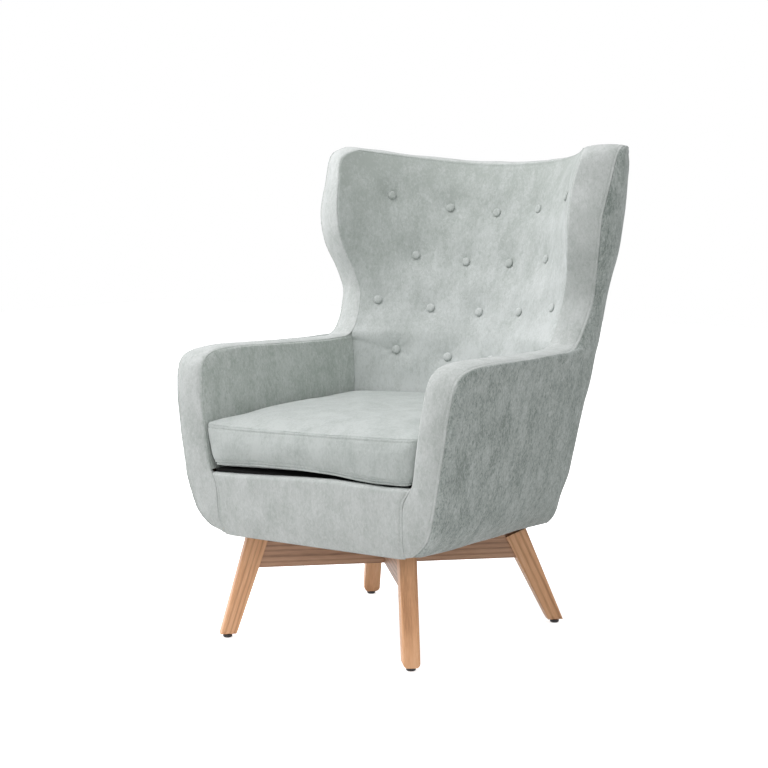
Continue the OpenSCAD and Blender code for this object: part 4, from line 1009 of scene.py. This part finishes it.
def makeCushionGrid():
    # Rings from the middle of the underside, up the wall, to the middle of the top, close at seams
    p = cushionOutline()[None]
    reach = np.concatenate([np.linspace(0.02, 0.9, 34),
        [0.925, 0.945, 0.962, 0.975, 0.985, 0.992, 0.9965, 1.0]])
    wall = np.concatenate([[0.012, 0.03, 0.042, 0.050, 0.058, 0.075, 0.095, 0.11, 0.122, 0.134, 0.15],
        np.linspace(0.175, 0.875, 18), [0.905, 0.925, 0.945, 0.97, 0.988]])
    low = cushionDisc(p, 0.0, reach, -cushionSet["sag"])
    boxing = cushionWall(p + 0 * wall[:, None, None], wall[:, None] + 0 * p[..., 0])
    top = cushionDisc(p, 1.0, reach[::-1], cushionSet["crown"])
    return np.concatenate([low, boxing, top]), len(reach), len(reach) + len(wall)


def cushionMesh(name, grid):
    index, following, quads = ringQuads(*grid.shape[:2])
    vertices = np.concatenate([grid.reshape(-1, 3), [grid[0].mean(0)], [grid[-1].mean(0)]])
    low = np.stack([following[0], index[0], 0 * index[0] + index.size], -1)
    high = np.stack([index[-1], following[-1], 0 * index[0] + index.size + 1], -1)
    return addMesh(name, vertices, [quads, low, high])


def pressed(piece):
    # How far cloth under pressure moves each point in the frames given, up to the cap
    start = np.zeros(len(piece.data.vertices) * 3, np.float32)
    piece.data.vertices.foreach_get("co", start)
    cloth = piece.modifiers.new("cloth", "CLOTH")
    settings = cloth.settings
    settings.quality = clothSet["quality"]
    settings.mass = clothSet["mass"]
    settings.use_pressure = True
    settings.uniform_pressure_force = clothSet["pressure"]
    settings.shrink_min = clothSet["shrink"]
    settings.tension_stiffness = settings.compression_stiffness = clothSet["stretch"]
    settings.bending_stiffness = clothSet["bending"]
    settings.effector_weights.gravity = 0
    cloth.collision_settings.use_collision = False
    scene = bpy.context.scene
    for number in range(1, clothSet["frames"] + 1):
        scene.frame_set(number)
    shaped = piece.evaluated_get(bpy.context.evaluated_depsgraph_get())
    found = np.zeros_like(start)
    shaped.data.vertices.foreach_get("co", found)
    piece.modifiers.remove(cloth)
    scene.frame_set(1)
    move = (found - start).reshape(-1, 3)
    far = np.linalg.norm(move, axis=1, keepdims=True)
    return move * np.minimum(1, clothSet["cap"] / np.maximum(far, 1e-9))


def swollen(grid):
    # The grid after the cloth's moves, smoothed so that the broad folds stay and the creases go
    rings, sides = grid.shape[:2]
    trial = cushionMesh("trial", grid)
    move = pressed(trial)[:rings * sides].reshape(rings, sides, 3)
    bpy.data.objects.remove(trial)
    for _ in range(clothSet["smoothing"]):
        move = 0.5 * move + 0.25 * (np.roll(move, 1, 1) + np.roll(move, -1, 1))
        move[1:-1] = 0.5 * move[1:-1] + 0.25 * (move[2:] + move[:-2])
    largest = float(np.linalg.norm(move, axis=-1).max())
    print("cushion pressed: largest move", round(largest * 1000, 1), "mm")
    return grid + move * clothSet["share"]


def ringNormals(grid):
    return unit(np.cross(np.roll(grid, -1, 1) - np.roll(grid, 1, 1), np.gradient(grid, axis=0)))


def cushionRelief(base, lowSeam, highSeam):
    # Both seams as a groove beside a ridge, with puckers and a stitched line, then the boxing's
    # waves, the top's waves and one shallow dent at the right
    down = lengths(base, 0)
    s = lengths(np.concatenate([base, base[:, :1]], 1), 1)[:, :-1]
    height = np.zeros(base.shape[:2])
    for seam, way, inset in ((lowSeam - 1, 1, weltSet["inset"]), (highSeam, -1, 0)):
        inward = (down - down[seam]) * way - inset
        d = np.abs(inward)
        height += -weltSet["groove"] * np.exp(-(d / weltSet["grooveWidth"])**2) \
            + weltSet["ridge"] * np.exp(-((d - weltSet["ridgeAt"]) / weltSet["ridgeWidth"])**2) \
            + weltSet["pucker"] * waviness(s, seam) * np.exp(-(d / 0.010)**1.4)
        height += np.where(inward > 0, stitchedLine(d, stitchAt, *weltSet["stitch"]), 0)
    number = np.arange(len(base))[:, None]
    wall = ease((number - lowSeam + 3) / 4) * ease((highSeam + 3 - number) / 4)
    bulge = np.sin(pi * np.clip((down - down[lowSeam]) / cushionSet["height"], 0, 1))
    height += cushionSet["unevenness"] * waves(s, down, 0.04, 41) * wall * bulge
    x, y = base[..., 0], base[..., 1]
    dentX, dentY = cushionSet["dentPlace"]
    dent = np.exp(-(((x - dentX) / 0.035)**2 + ((y - dentY) / 0.09)**2))
    rough = cushionSet["topUnevenness"] * waves(x, y, 0.08, 44)
    return height + np.where(number >= highSeam, rough - cushionSet["dent"] * dent, 0)


def makeCushion():
    grid, lowSeam, highSeam = makeCushionGrid()
    base = swollen(grid)
    front = base + ringNormals(base) * cushionRelief(base, lowSeam, highSeam)[..., None]
    front[..., 2] = np.maximum(front[..., 2], cushionSet["lowest"])
    out = ringNormals(front)
    for ring in (lowSeam + 8, highSeam - 4):
        sewn["seat_cushion"].append([np.concatenate([v[ring], v[ring, :1]]) for v in (front, out)])
    finish(cushionMesh("seatCushion", front), velvetCushionShadedRear, "seat_cushion",
        ("cushion_core", "cushion_top_cover", "cushion_bottom_cover", "cushion_boxing"))


makeCushion()
print("cushion made")


# Topstitching: a spindle of thread for each stitch
stitchSet = {"pitch": 0.0042, "length": 0.0031, "radius": 0.00035, "sides": 5, "ends": 0.008}


def makeStitches(name, body):
    profile = np.array([[-0.5, 0.3], [-0.3, 0.95], [0.3, 0.95], [0.5, 0.3]])
    a = np.arange(stitchSet["sides"]) * 2 * pi / stitchSet["sides"]
    spots, along, up = [], [], []
    for line, n in sewn[body]:
        s = lengths(line, 0)
        at = np.arange(stitchSet["ends"], s[-1] - stitchSet["ends"], stitchSet["pitch"])
        ends = [np.stack([np.interp(at + h, s, line[:, i]) for i in range(3)], 1)
            for h in (-0.001, 0.001)]
        spots.append((ends[0] + ends[1]) / 2)
        along.append(unit(ends[1] - ends[0]))
        up.append(unit(np.stack([np.interp(at, s, n[:, i]) for i in range(3)], 1)))
    spots, along, up = (np.concatenate(group) for group in (spots, along, up))
    side = unit(np.cross(along, up))
    r = stitchSet["radius"]
    ring = profile[:, 1, None, None] * r * np.stack([np.cos(a), np.sin(a)], -1)
    reach = profile[:, 0, None, None] * stitchSet["length"]
    points = spots[:, None, None] + along[:, None, None] * reach[None] \
        + side[:, None, None] * ring[None, ..., :1] + up[:, None, None] * (ring[None, ..., 1:] + 0.3 * r)
    index, _, quads = ringQuads(len(profile), len(a))
    caps = np.stack([index[0, ::-1], index[-1]])
    if signedVolume(points[0].reshape(-1, 3), quads) < 0:
        quads, caps = quads[:, ::-1], caps[:, ::-1]
    shift = (np.arange(len(spots)) * index.size)[:, None, None]
    faces = [(quads[None] + shift).reshape(-1, 4), (caps[None] + shift).reshape(-1, len(a))]
    piece = addMesh(name, points.reshape(-1, 3), faces)
    finish(piece, thread, body)
    print(name, len(spots), "stitches")


makeStitches("bodyStitches", "chair")
makeStitches("cushionStitches", "seat_cushion")


# Timber and the hidden frame keep their solids and take better finishes. The base's rails cross at
# an angle, and each leg leans out from its top to its foot, as distances from the crossing
baseSet = {"angle": radians(47.2), "crossing": 0.292, "fall": 0.218, "front": (0.286, 0.354),
    "rear": (0.268, 0.371)}
finishes = {pine: ["stretcher", "_rail", "_post", "corner_blocks"], board: ["board"],
    webbing: ["straps"], steel: ["nails", "bolts", "washers", "tee_nuts"], plastic: ["glides"]}


def dress(node, material):
    node.data.materials.clear()
    node.data.materials.append(material)


def finishNodes():
    a = baseSet["angle"]
    grain = {"cross_rail_lower": (cos(a), -sin(a), 0), "cross_rail_upper": (cos(a), sin(a), 0)}
    middle = Vector((0, bodyFront + baseSet["crossing"], 0))
    turns = {"front_left": pi + a, "front_right": -a, "rear_left": pi - a, "rear_right": a}
    for name, turn in turns.items():
        top, foot = baseSet[name.split("_")[0]]
        way = Vector((cos(turn), sin(turn), 0)) * (foot - top) + Vector((0, 0, -baseSet["fall"]))
        grain["leg_" + name] = way.normalized()
    for k, (name, along) in enumerate(grain.items()):
        # The rails take the darker tones, painted shade under the seat
        tones = oakSet["legs" if "leg" in name else "rails"]
        oak = makeOak("oak" + name.title().replace("_", ""), along, k + 1, tones, middle)
        dress(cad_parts[name], oak)
    for name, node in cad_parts.items():
        if name in grain or node.hide_render:
            continue
        fitting = (m for m, words in finishes.items() if any(word in name for word in words))
        material = next(fitting, None)
        if material:
            dress(node, material)


finishNodes()
print("timber and frame finished")


# Floor, background and lamps
studio = {"ambient": 0.585, "floorHalf": 8.0, "floor": "#f4f4f4", "floorGlow": 0.75,
    "lampSize": 2.0, "lampColour": "#fffaff", "aim": (0, 0, 0.6)}
lamps = {"sideLamp": ((-3.6, -1.0, 1.8), 50.0), "topLamp": ((-1.0, -0.9, 3.0), 49.0),
    "frontLamp": ((0.8, -1.8, 3.0), 20.0)}  # place and power


def makeLamp(name, place, power):
    data = bpy.data.lights.new(name, "AREA")
    data.color = linear(studio["lampColour"])[:3]
    data.shape, data.size, data.energy = "DISK", studio["lampSize"], power
    lamp = bpy.data.objects.new(name, data)
    bpy.context.collection.objects.link(lamp)
    lamp.location = place
    lamp.rotation_euler = (Vector(studio["aim"]) - Vector(place)).to_track_quat("-Z", "Y").to_euler()


def seenStraight(tree):
    # 1 where the camera, a reflection or a view through glass sees it, and 0 where it lights
    path = addNode(tree, "ShaderNodeLightPath").outputs
    seen = addNode(tree, "ShaderNodeMath", {0: path["Is Camera Ray"], 1: path["Is Glossy Ray"]},
        operation="MAXIMUM").outputs["Value"]
    return addNode(tree, "ShaderNodeMath", {0: seen, 1: path["Is Transmission Ray"]},
        operation="MAXIMUM").outputs["Value"]


def makeFloor():
    # White paper: the camera and reflections see it glow, and it keeps the chair's shadow
    half = studio["floorHalf"]
    corners = np.array([[-half, -half, 0], [half, -half, 0], [half, half, 0], [-half, half, 0]])
    floor = addMesh("floor", corners, [np.array([[0, 1, 2, 3]])])
    material, tree, shader = newMaterial("paperFloor")
    setShader(shader, Base_Color=linear(studio["floor"]), Roughness=0.9, Specular_IOR_Level=0.1)
    glow = addNode(tree, "ShaderNodeMath", {0: seenStraight(tree)}, {1: studio["floorGlow"]},
        operation="MULTIPLY")
    emission = addNode(tree, "ShaderNodeEmission", {"Strength": glow.outputs["Value"]},
        {"Color": (1, 1, 1, 1)})
    both = addNode(tree, "ShaderNodeAddShader",
        {0: shader.outputs["BSDF"], 1: emission.outputs["Emission"]})
    output = next(node for node in tree.nodes if node.type == "OUTPUT_MATERIAL")
    tree.links.new(both.outputs["Shader"], output.inputs["Surface"])
    floor.data.materials.append(material)


def makeStudio():
    # The world lights the chair evenly, and is white where it is seen or reflected
    world = bpy.data.worlds.new("studio")
    bpy.context.scene.world = world
    world.use_nodes = True
    tree = world.node_tree
    tree.nodes.clear()
    level = addNode(tree, "ShaderNodeMapRange", {"Value": seenStraight(tree)},
        {"To Min": studio["ambient"], "To Max": 1.0})
    background = addNode(tree, "ShaderNodeBackground", {"Strength": level.outputs["Result"]},
        {"Color": (1, 1, 1, 1)})
    addNode(tree, "ShaderNodeOutputWorld", {"Surface": background.outputs["Background"]})
    for name, (place, power) in lamps.items():
        makeLamp(name, place, power)
    bpy.context.scene.view_settings.view_transform = "Standard"


makeFloor()
makeStudio()
print("studio made")
